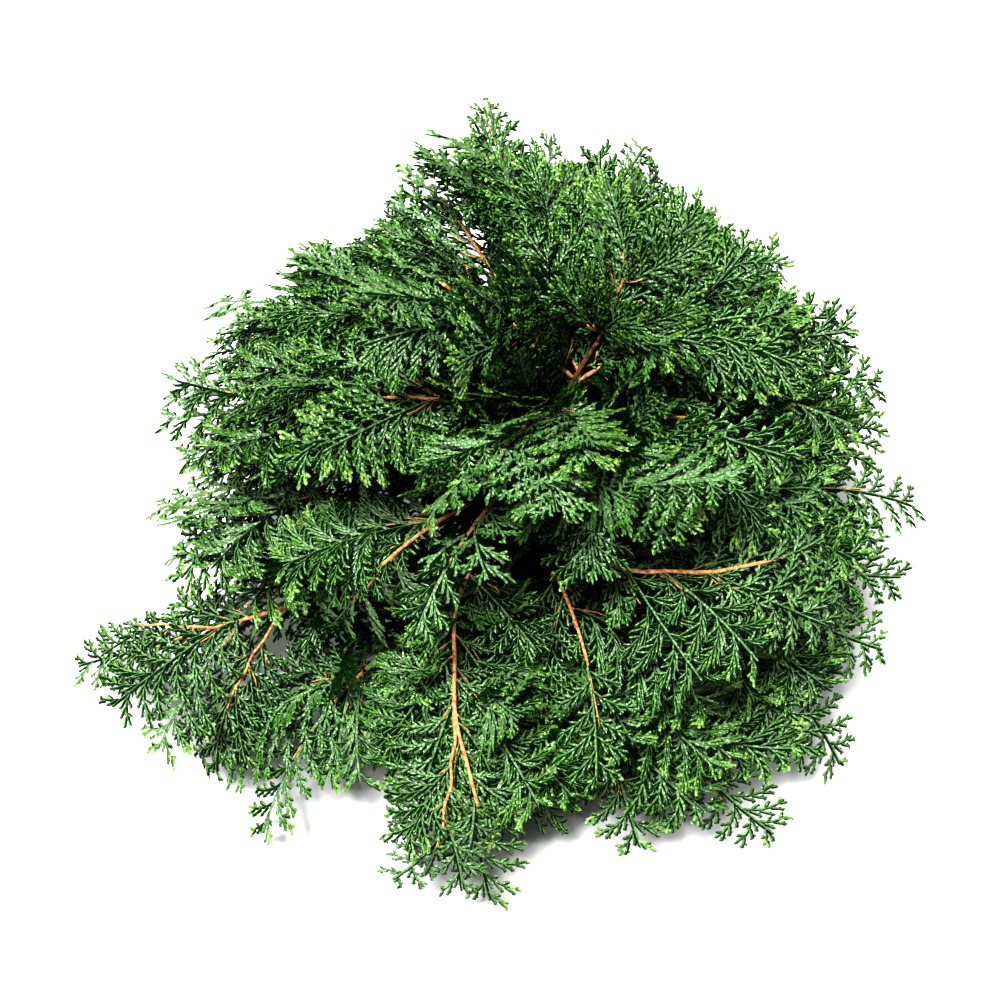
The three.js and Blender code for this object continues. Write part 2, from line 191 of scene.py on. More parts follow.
# The crown opens to the front and upwards, towards this place. These stretches of stem lie bare on
# that side, from one share of their limb to another.
OPEN_TO = np.array([-11.0, -631.0, 1030.0])
OPEN_STRETCHES = (
    ("front_long", 0.46, 0.84), ("front_fork", 0, 0.6), ("left_far_fork", 0.04, 0.45),
    ("left_far", 0.52, 0.8), ("front_right_upper", 0.25, 0.72), ("front_left_upper", 0.25, 0.7),
    ("left_low", 0.52, 0.7), ("left_shoulder", 0.45, 0.6), ("back_left", 0.5, 0.76),
    ("front_left_low", 0.52, 0.7), ("right_fork", 0.4, 0.74), ("right_shoulder", 0.55, 0.7),
)

# So does the trunk between these heights.
OPEN_TRUNK = (222, 240)

# Places this far apart stand for a stretch. Sprigs keep this far clear of the way to each, unless
# they lie no higher on it than this.
OPEN_STEP = 4
OPEN_WIDTH = 4.6
HIDES_FROM = 2

# The main sprigs of these limbs keep clear of their own stretches too.
CLEAR = ("front_right_upper", "front_left_upper", "left_shoulder", "back_left")

# A sprig may cross its own limb's bare stretch this near to its foot.
BARE_ROUND = 12

# The hollow at the crown's middle, where the limbs come together.
HOLLOW_AT = (0, -45, 150)
HOLLOW_WIDTH = 7

# Notches in the crown's rim, with their half widths, where the sky shows on that side.
SKY = (
    (-230, -35, 85, 15), (-127, -161, 45, 17), (30, -182, 45, 14), (12, -179, 45, 8),
    (-97, 152, 225, 13), (-150, 146, 190, 10), (-62, 184, 275, 10), (-30, 177, 275, 6),
    (22, 167, 262, 6), (212, -48, 95, 7), (178, 131, 190, 9), (52, 148, 265, 5), (29, 151, 270, 5),
    (-167, 105, 190, 5), (1, -191, 50, 5), (172, -138, 45, 6),
)

# Where a blade is looked at, as shares of its length: along it, and to both sides of its middle,
# where only its broad part reaches further than its narrow ends.
BLADE_ALONG = (0, 0.15, 0.3, 0.45, 0.6, 0.8, 1)
BLADE_ASIDE = (-0.38, -0.26, -0.13, 0, 0.13, 0.26, 0.38)
NARROW_TO = 0.15
BROAD_FROM, BROAD_TO = 0.25, 0.9

# Where the guide points of a mass lie along its foliage, and how far a sprig may pass them.
GUIDES_AT = (0.1, 0.35, 0.6, 0.8, 1)
SPACE_SLACK = 30

# How many main side sprigs each kind of limb has.
SIDE_SPRIGS = {"bough": 9, "inner": 8, "shown": 8, "fork": 6}
FIRST_SEED = 500

# The share of a limb that its end sprig takes, and how deep the sprig is sunk into its stem.
END_SHARE = 0.33
SHOWN_END_SHARE = 0.16
END_SUNK = 0.02

# How far a blade bends down, in degrees, and from which limb length on sprigs have their full size.
BEND_LEAST = 8
BEND_SPREAD = 24
FULL_AT = 150
LEAST_VIGOUR = 0.62

# A sprig that finds no room is tried again at these sizes.
SHORTER = (1, 0.82, 0.66, 0.5, 0.36)

# The masses at the crown's top, where it is airy.
AIRY = ("top_right", "top_mid", "top_left", "back_left", "leader", "left_back_top")

# The low masses at the back, which the crown hides from above.
DEEP = ("back_low", "back_low_left", "back_low_right")

# Masses that end above this height have short, close branchlets.
CLOSE_ABOVE = 195

# Sprays that leave a limb beyond this share of it are the crown's rim.
OUTER_FROM = 0.57

# No sprig leaves a limb nearer to the trunk than this share of the limb.
NEAREST = 0.06

# Where a blade is widest, and its half width there, both as shares of its length.
BLADE_WIDEST_AT = 0.55
BLADE_WIDTH_SHARE = 0.4

# Each rule for side sprigs has the shares of the limb's leafy part that the first and last leave it
# at, and for the first and last: their angle to the stem, and the lengths of stalk and blade. Each
# spread is how much a measure varies. lift is how far they stand up from the limb's sides, forward
# how far the blade turns along the limb, and slack how far it may pass into another mass's space.

MAIN_SPRIGS = SimpleNamespace(
    first=0.05, last=0.9, angle=(64, 38), angle_spread=12, lift=0, lift_spread=50,
    stalk=(30, 10), stalk_spread=0.4, forward=0.4, blade=(80, 68), blade_spread=0.24,
    roll_spread=60, slack=SPACE_SLACK,
)

# Sprigs of a limb that lies bare on the crown: they hang to both sides of it.
HANGING_SPRIGS = SimpleNamespace(
    first=0.05, last=0.95, angle=(58, 34), angle_spread=12, lift=-26, lift_spread=20,
    stalk=(16, 8), stalk_spread=0.4, forward=0.5, blade=(68, 54), blade_spread=0.24,
    roll_spread=30, slack=SPACE_SLACK,
)

# Smaller sprigs between the main ones, a little below them.
FILL_SPRIGS = SimpleNamespace(
    first=-0.35, last=0.66, angle=(70, 36), angle_spread=30, lift=-14, lift_spread=60,
    stalk=(24, 8), stalk_spread=0.8, forward=0.45, blade=(64, 50), blade_spread=0.4,
    roll_spread=56, slack=SPACE_SLACK,
)

# Short sprigs that stand on the upper side of a limb's inner half and close the crown's top.
UPRIGHT_SPRIGS = SimpleNamespace(
    first=-1.25, last=0.4, angle=(58, 44), angle_spread=24, lift=72, lift_spread=60,
    stalk=(20, 12), stalk_spread=0.6, forward=0.3, blade=(56, 54), blade_spread=0.3,
    roll_spread=100, slack=70,
)

# Old foliage close to the trunk, coloured in painted shade greens.
CORE_SPRIGS = SimpleNamespace(
    first=-1.1, last=0.1, angle=(74, 50), angle_spread=30, lift=-10, lift_spread=170,
    stalk=(16, 10), stalk_spread=0.6, forward=0.5, blade=(66, 56), blade_spread=0.3,
    roll_spread=120, slack=90,
)

# The finer sprigs of each limb: their rule, how many, and their seed.
FINER = (
    ("fill", FILL_SPRIGS, 8, 900),
    ("upright", UPRIGHT_SPRIGS, 11, 1300),
    ("core", CORE_SPRIGS, 8, 1700),
)


# ---------------------------------------------------------------- numbers and frames


def mix(a, b, t):
    return a + (b - a) * t


def normalise(v):
    return v / np.linalg.norm(v)


def turned(v, axis, angle):
    """v turned about a unit axis."""
    c, s = math.cos(angle), math.sin(angle)
    return v * c + np.cross(axis, v) * s + axis * (axis @ v) * (1 - c)


def polar(azimuth, reach, height):
    """A place given by its direction in degrees, and its distance and height."""
    angle = math.radians(azimuth)
    return np.array([reach * math.cos(angle), reach * math.sin(angle), height])


def seeded_numbers(seed):
    """Mulberry32: evenly spread numbers from 0 to 1, the same ones as the frame's own rule."""
    whole = 0xFFFFFFFF
    state = seed

    def number():
        nonlocal state
        state = (state + 0x6D2B79F5) & whole
        t = state
        t = ((t ^ (t >> 15)) * (t | 1)) & whole
        t ^= (t + (((t ^ (t >> 7)) * (t | 61)) & whole)) & whole
        return ((t ^ (t >> 14)) & whole) / 4294967296

    return number


# ---------------------------------------------------------------- limbs

LENGTH_STEPS = 201


def trunk_centre(height):
    share = height / TRUNK_HEIGHT
    x, y = (lean * share**power for lean, power in zip(TRUNK_LEAN, TRUNK_LEAN_POWER))
    return np.array([x, y, height])


def trunk_radius(height):
    return mix(TRUNK_FOOT_RADIUS, TRUNK_TIP_RADIUS, (height / TRUNK_HEIGHT) ** TRUNK_TAPER_POWER)


def flare(height, angle):
    """How far the root flare stands out, in five lobes."""
    left = max(0, 1 - height / FLARE_HEIGHT)
    return FLARE_REACH * left**2 * (1 - FLARE_DEPTH * (1 - np.cos(FLARE_ROOTS * angle)))


def limb_radius(joint):
    return min(BOUGH_THICKEST, BOUGH_TRUNK_SHARE * trunk_radius(joint))


class LimbPath:
    """The line of a limb from the trunk's middle to the tip of its foliage."""

    def __init__(self, spec, start, end_share):
        self.spec = spec
        self.start = start
        self.end_share = end_share
        self.end = polar(spec.azimuth, spec.reach, spec.tip)
        self.left = polar(spec.azimuth + 90, 1, 0)
        middle = (self.start + self.end) / 2 + self.left * 2 * spec.bow
        self.middle = middle + np.array([0, 0, 2 * spec.arch])
        points = [self.at(t) for t in np.linspace(0, 1, LENGTH_STEPS)]
        self.length = sum(np.linalg.norm(b - a) for a, b in zip(points, points[1:]))

    def at(self, t):
        return (1 - t) ** 2 * self.start + 2 * t * (1 - t) * self.middle + t * t * self.end

    def frame(self, t):
        """Along the limb, to its left side, and out of its upper face."""
        step = (1 - t) * (self.middle - self.start) + t * (self.end - self.middle)
        along = normalise(step)
        side = normalise(self.left - along * (self.left @ along))
        top = np.cross(along, side)
        roll = math.radians(self.spec.roll)
        return along, turned(side, along, roll), turned(top, along, roll)


# ---------------------------------------------------------------- sprigs


def end_sprig(path, number):
    """The sprig that carries on from the end of the stem to the tip of the mass."""
    foot_at = 1 - path.end_share
    root = path.at(foot_at + END_SUNK)
    along = normalise(path.at(1) - root)
    side = normalise(np.cross(path.frame(foot_at)[2], along))
    return SimpleNamespace(
        foot=path.at(foot_at - END_SUNK), root=root, along=along, side=side,
        top=np.cross(along, side), length=np.linalg.norm(path.at(1) - root),
        bend=BEND_LEAST + BEND_SPREAD * number(), kind="end", outer=True,
    )


def side_sprig(path, kind, rule, share, hand, number):
    """A side sprig leaves the stem to one hand, and its blade turns forward and is rolled."""
    vigour = max(LEAST_VIGOUR, min(1, path.length / FULL_AT))
    t = max(NEAREST, mix(path.spec.bare, 1 - path.end_share, mix(rule.first, rule.last, share)))
    stem, left, out = path.frame(t)
    angle = math.radians(mix(*rule.angle, share) + rule.angle_spread * (number() - 0.5))
    lift = math.radians(rule.lift + rule.lift_spread * (number() - 0.5))
    outward = left * hand * math.cos(lift) + out * math.sin(lift)
    stalk = stem * math.cos(angle) + outward * math.sin(angle)
    reach = vigour * mix(*rule.stalk, share) * (1 + rule.stalk_spread * (number() - 0.5))
    foot = path.at(t)
    along = normalise(stalk + stem * rule.forward)
    side = normalise(np.cross(out, along))
    side = turned(side, along, math.radians(rule.roll_spread * (number() - 0.5)))
    length = vigour * mix(*rule.blade, share) * (1 + rule.blade_spread * (number() - 0.5))
    return SimpleNamespace(
        foot=foot, root=foot + stalk * reach, along=along, side=side,
        top=np.cross(along, side), length=length,
        bend=BEND_LEAST + BEND_SPREAD * number(), kind=kind, outer=t > OUTER_FROM,
    )


def side_sprigs(path, kind, rule, count, number):
    """Sprigs to both hands of a stem by turns, from the rule's first place to its last."""
    return [
        side_sprig(path, kind, rule, k / (count - 1), 1 - 2 * (k % 2), number)
        for k in range(count)
    ]


def shortened(sprig, scale):
    """The same sprig with its stalk and blade at another size."""
    root = mix(sprig.foot, sprig.root, scale)
    return SimpleNamespace(**{**vars(sprig), "root": root, "length": sprig.length * scale})


def keeps_space(sprig, mass, masses, slack):
    """A sprig's tip and widest places lie nearer to its own mass's guides than to any other's."""
    tip = sprig.root + sprig.along * sprig.length
    middle = sprig.root + sprig.along * BLADE_WIDEST_AT * sprig.length
    width = sprig.side * BLADE_WIDTH_SHARE * sprig.length
    for place in (tip, middle + width, middle - width):
        gaps = [np.linalg.norm(other.guides - place, axis=1).min() for other in masses]
        own = gaps[mass.index]
        if any(own >= gap + slack for k, gap in enumerate(gaps) if k != mass.index):
            return False
    return True


def open_places(masses):
    """Places that show on the open side: how wide, whose stems they are, and where that side is.

    A stem or the hollow is hidden by what lies before it, the sky by what lies anywhere on the way.
    """
    rows = [(*HOLLOW_AT, HOLLOW_WIDTH, -1, HIDES_FROM)]
    for height in np.arange(*OPEN_TRUNK, OPEN_STEP):
        rows.append((*trunk_centre(height), OPEN_WIDTH, -1, HIDES_FROM))
    for name, first, last in OPEN_STRETCHES:
        mass = named(masses, name)
        for t in np.arange(first, last, OPEN_STEP / mass.path.length):
            rows.append((*mass.path.at(t), OPEN_WIDTH, mass.index, HIDES_FROM))
    for place in SKY:
        rows.append((*place, -1, -math.inf))
    rows = np.array(rows, float)
    at = rows[:, :3]
    way = (OPEN_TO - at) / np.linalg.norm(OPEN_TO - at, axis=1)[:, None]
    return SimpleNamespace(at=at, way=way, width=rows[:, 3], owner=rows[:, 4], least=rows[:, 5])


def leaves_open(sprig, mass, places):
    """No part of a sprig's blade hides a bare stem or the sky from the open side.

    An end or main sprig may cross its own stem. Where that is to lie clear, a sprig crosses it
    only near its own foot.
    """
    free = places.owner == mass.index
    if mass.shown and sprig.kind != "end" or mass.name in CLEAR and sprig.kind == "main":
        free &= np.linalg.norm(places.at - sprig.foot, axis=1) < BARE_ROUND
    elif sprig.kind not in ("main", "end"):
        free[:] = False
    sprig = leafed(sprig)
    blade = np.array([
        sprig.root + sprig.length * (u * sprig.along + v * sprig.side)
        for u in BLADE_ALONG for v in BLADE_ASIDE
        if abs(v) < NARROW_TO or BROAD_FROM < u < BROAD_TO
    ])
    gap = blade[:, None] - places.at[None]
    ahead = (gap * places.way[None]).sum(axis=2)
    aside = np.linalg.norm(gap - ahead[..., None] * places.way[None], axis=2)
    hidden = np.any((ahead > places.least) & (aside < places.width), axis=0)
    return not np.any(hidden & ~free)


def named(masses, name):
    return next(mass for mass in masses if mass.name == name)


def make_masses():
    """Every mass of foliage with its path and its guide points, still without sprigs."""
    masses = []

    def add(kind, spec, start, end_share):
        path = LimbPath(spec, start, end_share)
        guides = np.array([path.at(mix(spec.bare, 1, share)) for share in GUIDES_AT])
        masses.append(SimpleNamespace(
            name=spec.name, index=len(masses), path=path, guides=guides, count=SIDE_SPRIGS[kind],
            on_bough=kind == "bough", shown=kind in ("shown", "fork"), forked=kind == "fork",
            sprigs=[],
        ))

    for kind, rows in (("bough", BOUGHS), ("inner", (*INNER, LEADER)), ("shown", SHOWN)):
        for row in rows:
            spec = SimpleNamespace(**dict(zip(LIMB_FIELDS, row)))
            end_share = SHOWN_END_SHARE if kind == "shown" else END_SHARE
            add(kind, spec, trunk_centre(spec.joint), end_share)
    for row in FORKS:
        spec = SimpleNamespace(**dict(zip(FORK_FIELDS, row)))
        add("fork", spec, named(masses, spec.parent).path.at(spec.share), spec.end)
    return masses


def finer_kinds(mass):
    """Which finer sprigs a limb has.

    A side limb has none, a bare or deep one only those between its main ones, and the airy top no
    old foliage.
    """
    if mass.forked:
        return ()
    if mass.shown or mass.name in DEEP:
        return FINER[:1]
    return FINER[:2] if mass.name in AIRY else FINER


def fitted(sprig, slack, mass, others, places):
    """The sprig at the largest of its sizes that keeps to its mass's space, if there is one."""
    for scale in SHORTER:
        candidate = shortened(sprig, scale)
        if mass.shown or keeps_space(candidate, mass, others, slack):
            if leaves_open(candidate, mass, places):
                return candidate
    return None


def set_sprigs(masses):
    """Grows each mass's sprigs: the end one and the main ones by the frame's own rule."""
    places = open_places(masses)
    others = [mass for mass in masses if not mass.shown]
    for mass in masses:
        number = seeded_numbers(FIRST_SEED + mass.index)
        end = end_sprig(mass.path, number)
        if mass.on_bough or leaves_open(end, mass, places):
            mass.sprigs.append(end)
        main = HANGING_SPRIGS if mass.shown else MAIN_SPRIGS
        kinds = [("main", main, mass.count, number)]
        for kind, rule, count, seed in finer_kinds(mass):
            kinds.append((kind, rule, count, seeded_numbers(seed + mass.index)))
        for kind, rule, count, number in kinds:
            for sprig in side_sprigs(mass.path, kind, rule, count, number):
                sprig = fitted(sprig, rule.slack, mass, others, places)
                if sprig:
                    mass.sprigs.append(sprig)
    return masses


# ---------------------------------------------------------------- sprays of scale leaves

# Where a side spray's first ribs stand, as a share of its stalk.
LEAFED_FROM = 0.14

# The longest side ribs are this share of a short spray, and grow less on a long one.
RIB_SHARE = 0.5
RIB_LEAST = 20
RIB_MORE = 0.17
AIRY_REACH = 0.8

# How sprays are built: how much wider their branchlets are than the finest, the gaps between side
# ribs and between branchlets, the branchlets' length, angle and curve, from which length on they
# have three segments or lobes, and at which share and hand of them each lobe stands. The fine
# sprays are in this order: at the rim, short, in the high masses, and elsewhere.
NEVER = 99
RIM_SPRAY = dict(
    wider=0.4, rib_gap=12.4, branchlet_gap=5.5, branchlet_length=10.5, branchlet_angle=(26, 33),
    branchlet_swing=24, knotted_from=7, lobed_from=6, lobes=((0.45, 1), (0.7, -1)))
FAN_SPRAY = dict(
    wider=0, rib_gap=9, branchlet_gap=3.9, branchlet_length=7.8, branchlet_angle=(28, 36),
    branchlet_swing=14, knotted_from=NEVER, lobed_from=5.6, lobes=((0.6, 1),))
CLOSE_SPRAY = dict(
    wider=0.1, rib_gap=10.5, branchlet_gap=4.4, branchlet_length=9.5, branchlet_angle=(28, 38),
    branchlet_swing=18, knotted_from=NEVER, lobed_from=5.4, lobes=((0.5, -1), (0.74, 1)))
LONG_SPRAY = dict(
    wider=0, rib_gap=12.5, branchlet_gap=4, branchlet_length=15, branchlet_angle=(19, 26),
    branchlet_swing=40, knotted_from=NEVER, lobed_from=9, lobes=((0.6, -1), (0.8, 1)))
# Old sprays close to the trunk, all in painted shade greens.
OLD_SPRAY = dict(
    wider=0.2, rib_gap=14, branchlet_gap=5.6, branchlet_length=12, branchlet_angle=30,
    branchlet_swing=8, knotted_from=NEVER, lobed_from=NEVER, lobes=(), rib_angle=34,
    rib_reach=0.5, rib_swing=30, dihedral=0, shaded=True)

# A spray shorter than this is a plain fan.
FAN_BELOW = 56

# From which age on leaves are young and fresh, and how much that strays from spray to spray.
TIP_FROM = 0.92
FRESH_FROM = 0.6
TONE_STRAY = (-0.14, 0.18)
FILL_OLDER = 0.12

# Ranges of a spray's side ribs: their angle and swing, and how far their plane stands up.
RIB_ANGLE = (28, 38)
RIB_SWING = (44, 78)
DIHEDRAL = (-8, 4)

LEAF_SHADE, LEAF_SHADED_HALF, LEAF_LIT_SAGE, LEAF_FRESH, LEAF_TIP, LEAF_RIB = range(6)

# A chain of scale leaves is two-toned as painted light: a darker green (painted shade) on its half
# turned from the light, and a paler one (painted highlight) on its half turned to it.
OLD, FRESH, YOUNG, SHADED, RIB = range(5)
TONES = np.array([
    (LEAF_SHADED_HALF, LEAF_LIT_SAGE), (LEAF_SHADED_HALF, LEAF_FRESH), (LEAF_FRESH, LEAF_TIP),
    (LEAF_SHADE, LEAF_SHADED_HALF), (LEAF_SHADED_HALF, LEAF_RIB),
])
# The way to the light, which picks the painted lit half of each chain.
TO_LIGHT = np.array([-0.25, 0.1, 1.0])

# A chain's ridge is low and high by turns, and its edge narrow and wide, as shares of its height
# and half width. At its end both are less, and its corners stand back.
RIDGES = (0.75, 1.1)
EDGES = (0.82, 1)
END_RIDGE = 0.2
END_EDGE = 0.8
END_BACK = 0.8

# The rib down a spray's middle: its segments, and its height as a share of its half width.
SPINE_SEGMENTS = 12
RIB_HEIGHT = 0.8
SWAY_MOST = 0.2

# Side ribs: where they begin and end on a spray, how short the first ones are, how much they close
# up towards the tip, how long a segment is, and from which length on they look like ribs.
RIBS_FROM = 0.05
RIBS_TO = 0.97
FIRST_REACH = 0.6
LAST_REACH = 0.03
RIB_CLOSING = 6
FULL_SWING_AT = 24
SEGMENT_LENGTH = 5
SEGMENTS = np.array([2, 3, 4, 6, 8])
RIBBED_FROM = 12
RIB_WIDTH = 0.9
RIB_FOOT_AGE = 0.6

# How much side ribs stray in place, reach, angle, swing, rise and bow.
RIB_PLACE_STRAY = 0.07
RIB_REACH_STRAY = (0.84, 1.08)
RIB_ANGLE_STRAY = 0.05
RIB_SWING_STRAY = (0.8, 1.2)
RIB_RISE_STRAY = 10
RIB_BOW = (-0.005, 0.002)

# Branchlets: how far along a rib the first of its fore and back side stand, how far from its tip
# the last do, how much wider the gaps of the back side are, how long they are at most and at least,
# and the sizes of the two sides.
FIRST_BRANCHLET = 0.1
FORE_FROM = 1.5
BACK_FROM = 3.2
BRANCHLETS_END = 1.2
BACK_GAP = 1.4
BRANCHLET_SHARE = 0.48
BRANCHLET_MORE = 1.8
BRANCHLET_SHORTEST = 2.6
FORE_SIZE = 1.08
BACK_SIZE = 0.7
BACK_OPENED = 0.1
FORE_OPENED = 10
BRANCHLET_HEIGHT = 0.85

# How branchlets grow shorter towards the tip of their rib, and what share of their age comes from
# their place on the rib. The rest comes from the rib's place on the spray.
TAPER_POWER = 2.4
TAPER_LEAST = 0.1
TAPER_FIRST = 0.8
RIB_AGE_SHARE = 0.6

# How much branchlets stray in place, size, angle, curve, age, rise and width.
BRANCHLET_PLACE_STRAY = 0.1
BRANCHLET_SIZE_STRAY = (0.86, 1.1)
BRANCHLET_ANGLE_STRAY = 0.06
BRANCHLET_CURVE_STRAY = (0.7, 1.2)
BRANCHLET_AGE_STRAY = 0.09
BRANCHLET_RISE_STRAY = 0.1
BRANCHLET_WIDTH_STRAY = (0.86, 1.06)

# The end of a branchlet and its lobes look this much younger than its foot.
END_YOUNGER = 0.14
LOBE_YOUNGER = 0.12

# Lobes: their size as a share of the branchlet and more, which lessens along it, their width and
# height, how they stray in place and size, how much wider than branchlets they open, and how they
# curve and are raised.
LOBE_SHARE = 0.3
LOBE_MORE = 0.6
LOBE_LESSENS = (1.25, 0.65)
LOBE_WIDTH = 0.9
LOBE_HEIGHT = 0.6
LOBE_PLACE_STRAY = 0.05
LOBE_SIZE_STRAY = (0.8, 1.15)
LOBE_OPENED = 4
LOBE_CURVE = -0.2
LOBE_RAISED = 0.1


def picked(things, some):
    """Those of a namespace's equally long arrays that are picked."""
    return SimpleNamespace(**{name: values[some] for name, values in vars(things).items()})


def chains(start, heading, swing, length, half_width, height, segments):
    """Flat chains of scale leaves in a spray's plane, with a low ridge and a zigzag edge.

    start is (count, 2), the others (count,). Returns places (count, 3 * segments + 1, 3).
    """

    def point(along, across, up):
        turn = heading + 0.5 * swing * along / length
        facing = heading + swing * along / length
        u = start[:, 0] + along * np.cos(turn) - across * np.sin(facing)
        v = start[:, 1] + along * np.sin(turn) + across * np.cos(facing)
        return np.stack([u, v, np.broadcast_to(up, u.shape)], axis=1)

    places = np.empty((len(heading), 3 * segments + 1, 3))
    for k in range(segments + 1):
        ridge = RIDGES[k % 2] if k < segments else END_RIDGE
        places[:, k] = point(length * k / segments, 0, ridge * height)
    for k in range(1, segments + 1):
        along, width = length * (k - 0.5) / segments, EDGES[k % 2] * half_width
        if k == segments:
            along, width = length - END_BACK * half_width, END_EDGE * half_width
        places[:, segments + k] = point(along, width, 0)
        places[:, 2 * segments + k] = point(along, -width, 0)
    return places


def chain_faces(segments):
    """The triangles of one chain, which of them are left, and which are in its last segment."""
    rows = []
    for k in range(segments):
        left, right = segments + k, 2 * segments + k
        if k > 0:
            rows += [(k, left + 1, left), (k, right, right + 1)]
        rows += [(k, k + 1, left + 1), (k, right + 1, k + 1)]
    order = np.arange(len(rows))
    return np.array(rows), order % 2 == 0, order >= len(rows) - 4


def raise_own(places, start, own):
    """Raises chains out of their spray's plane with the distance from where they start."""
    places[..., 2] += own[:, None] * np.linalg.norm(places[..., :2] - start[:, None], axis=2)


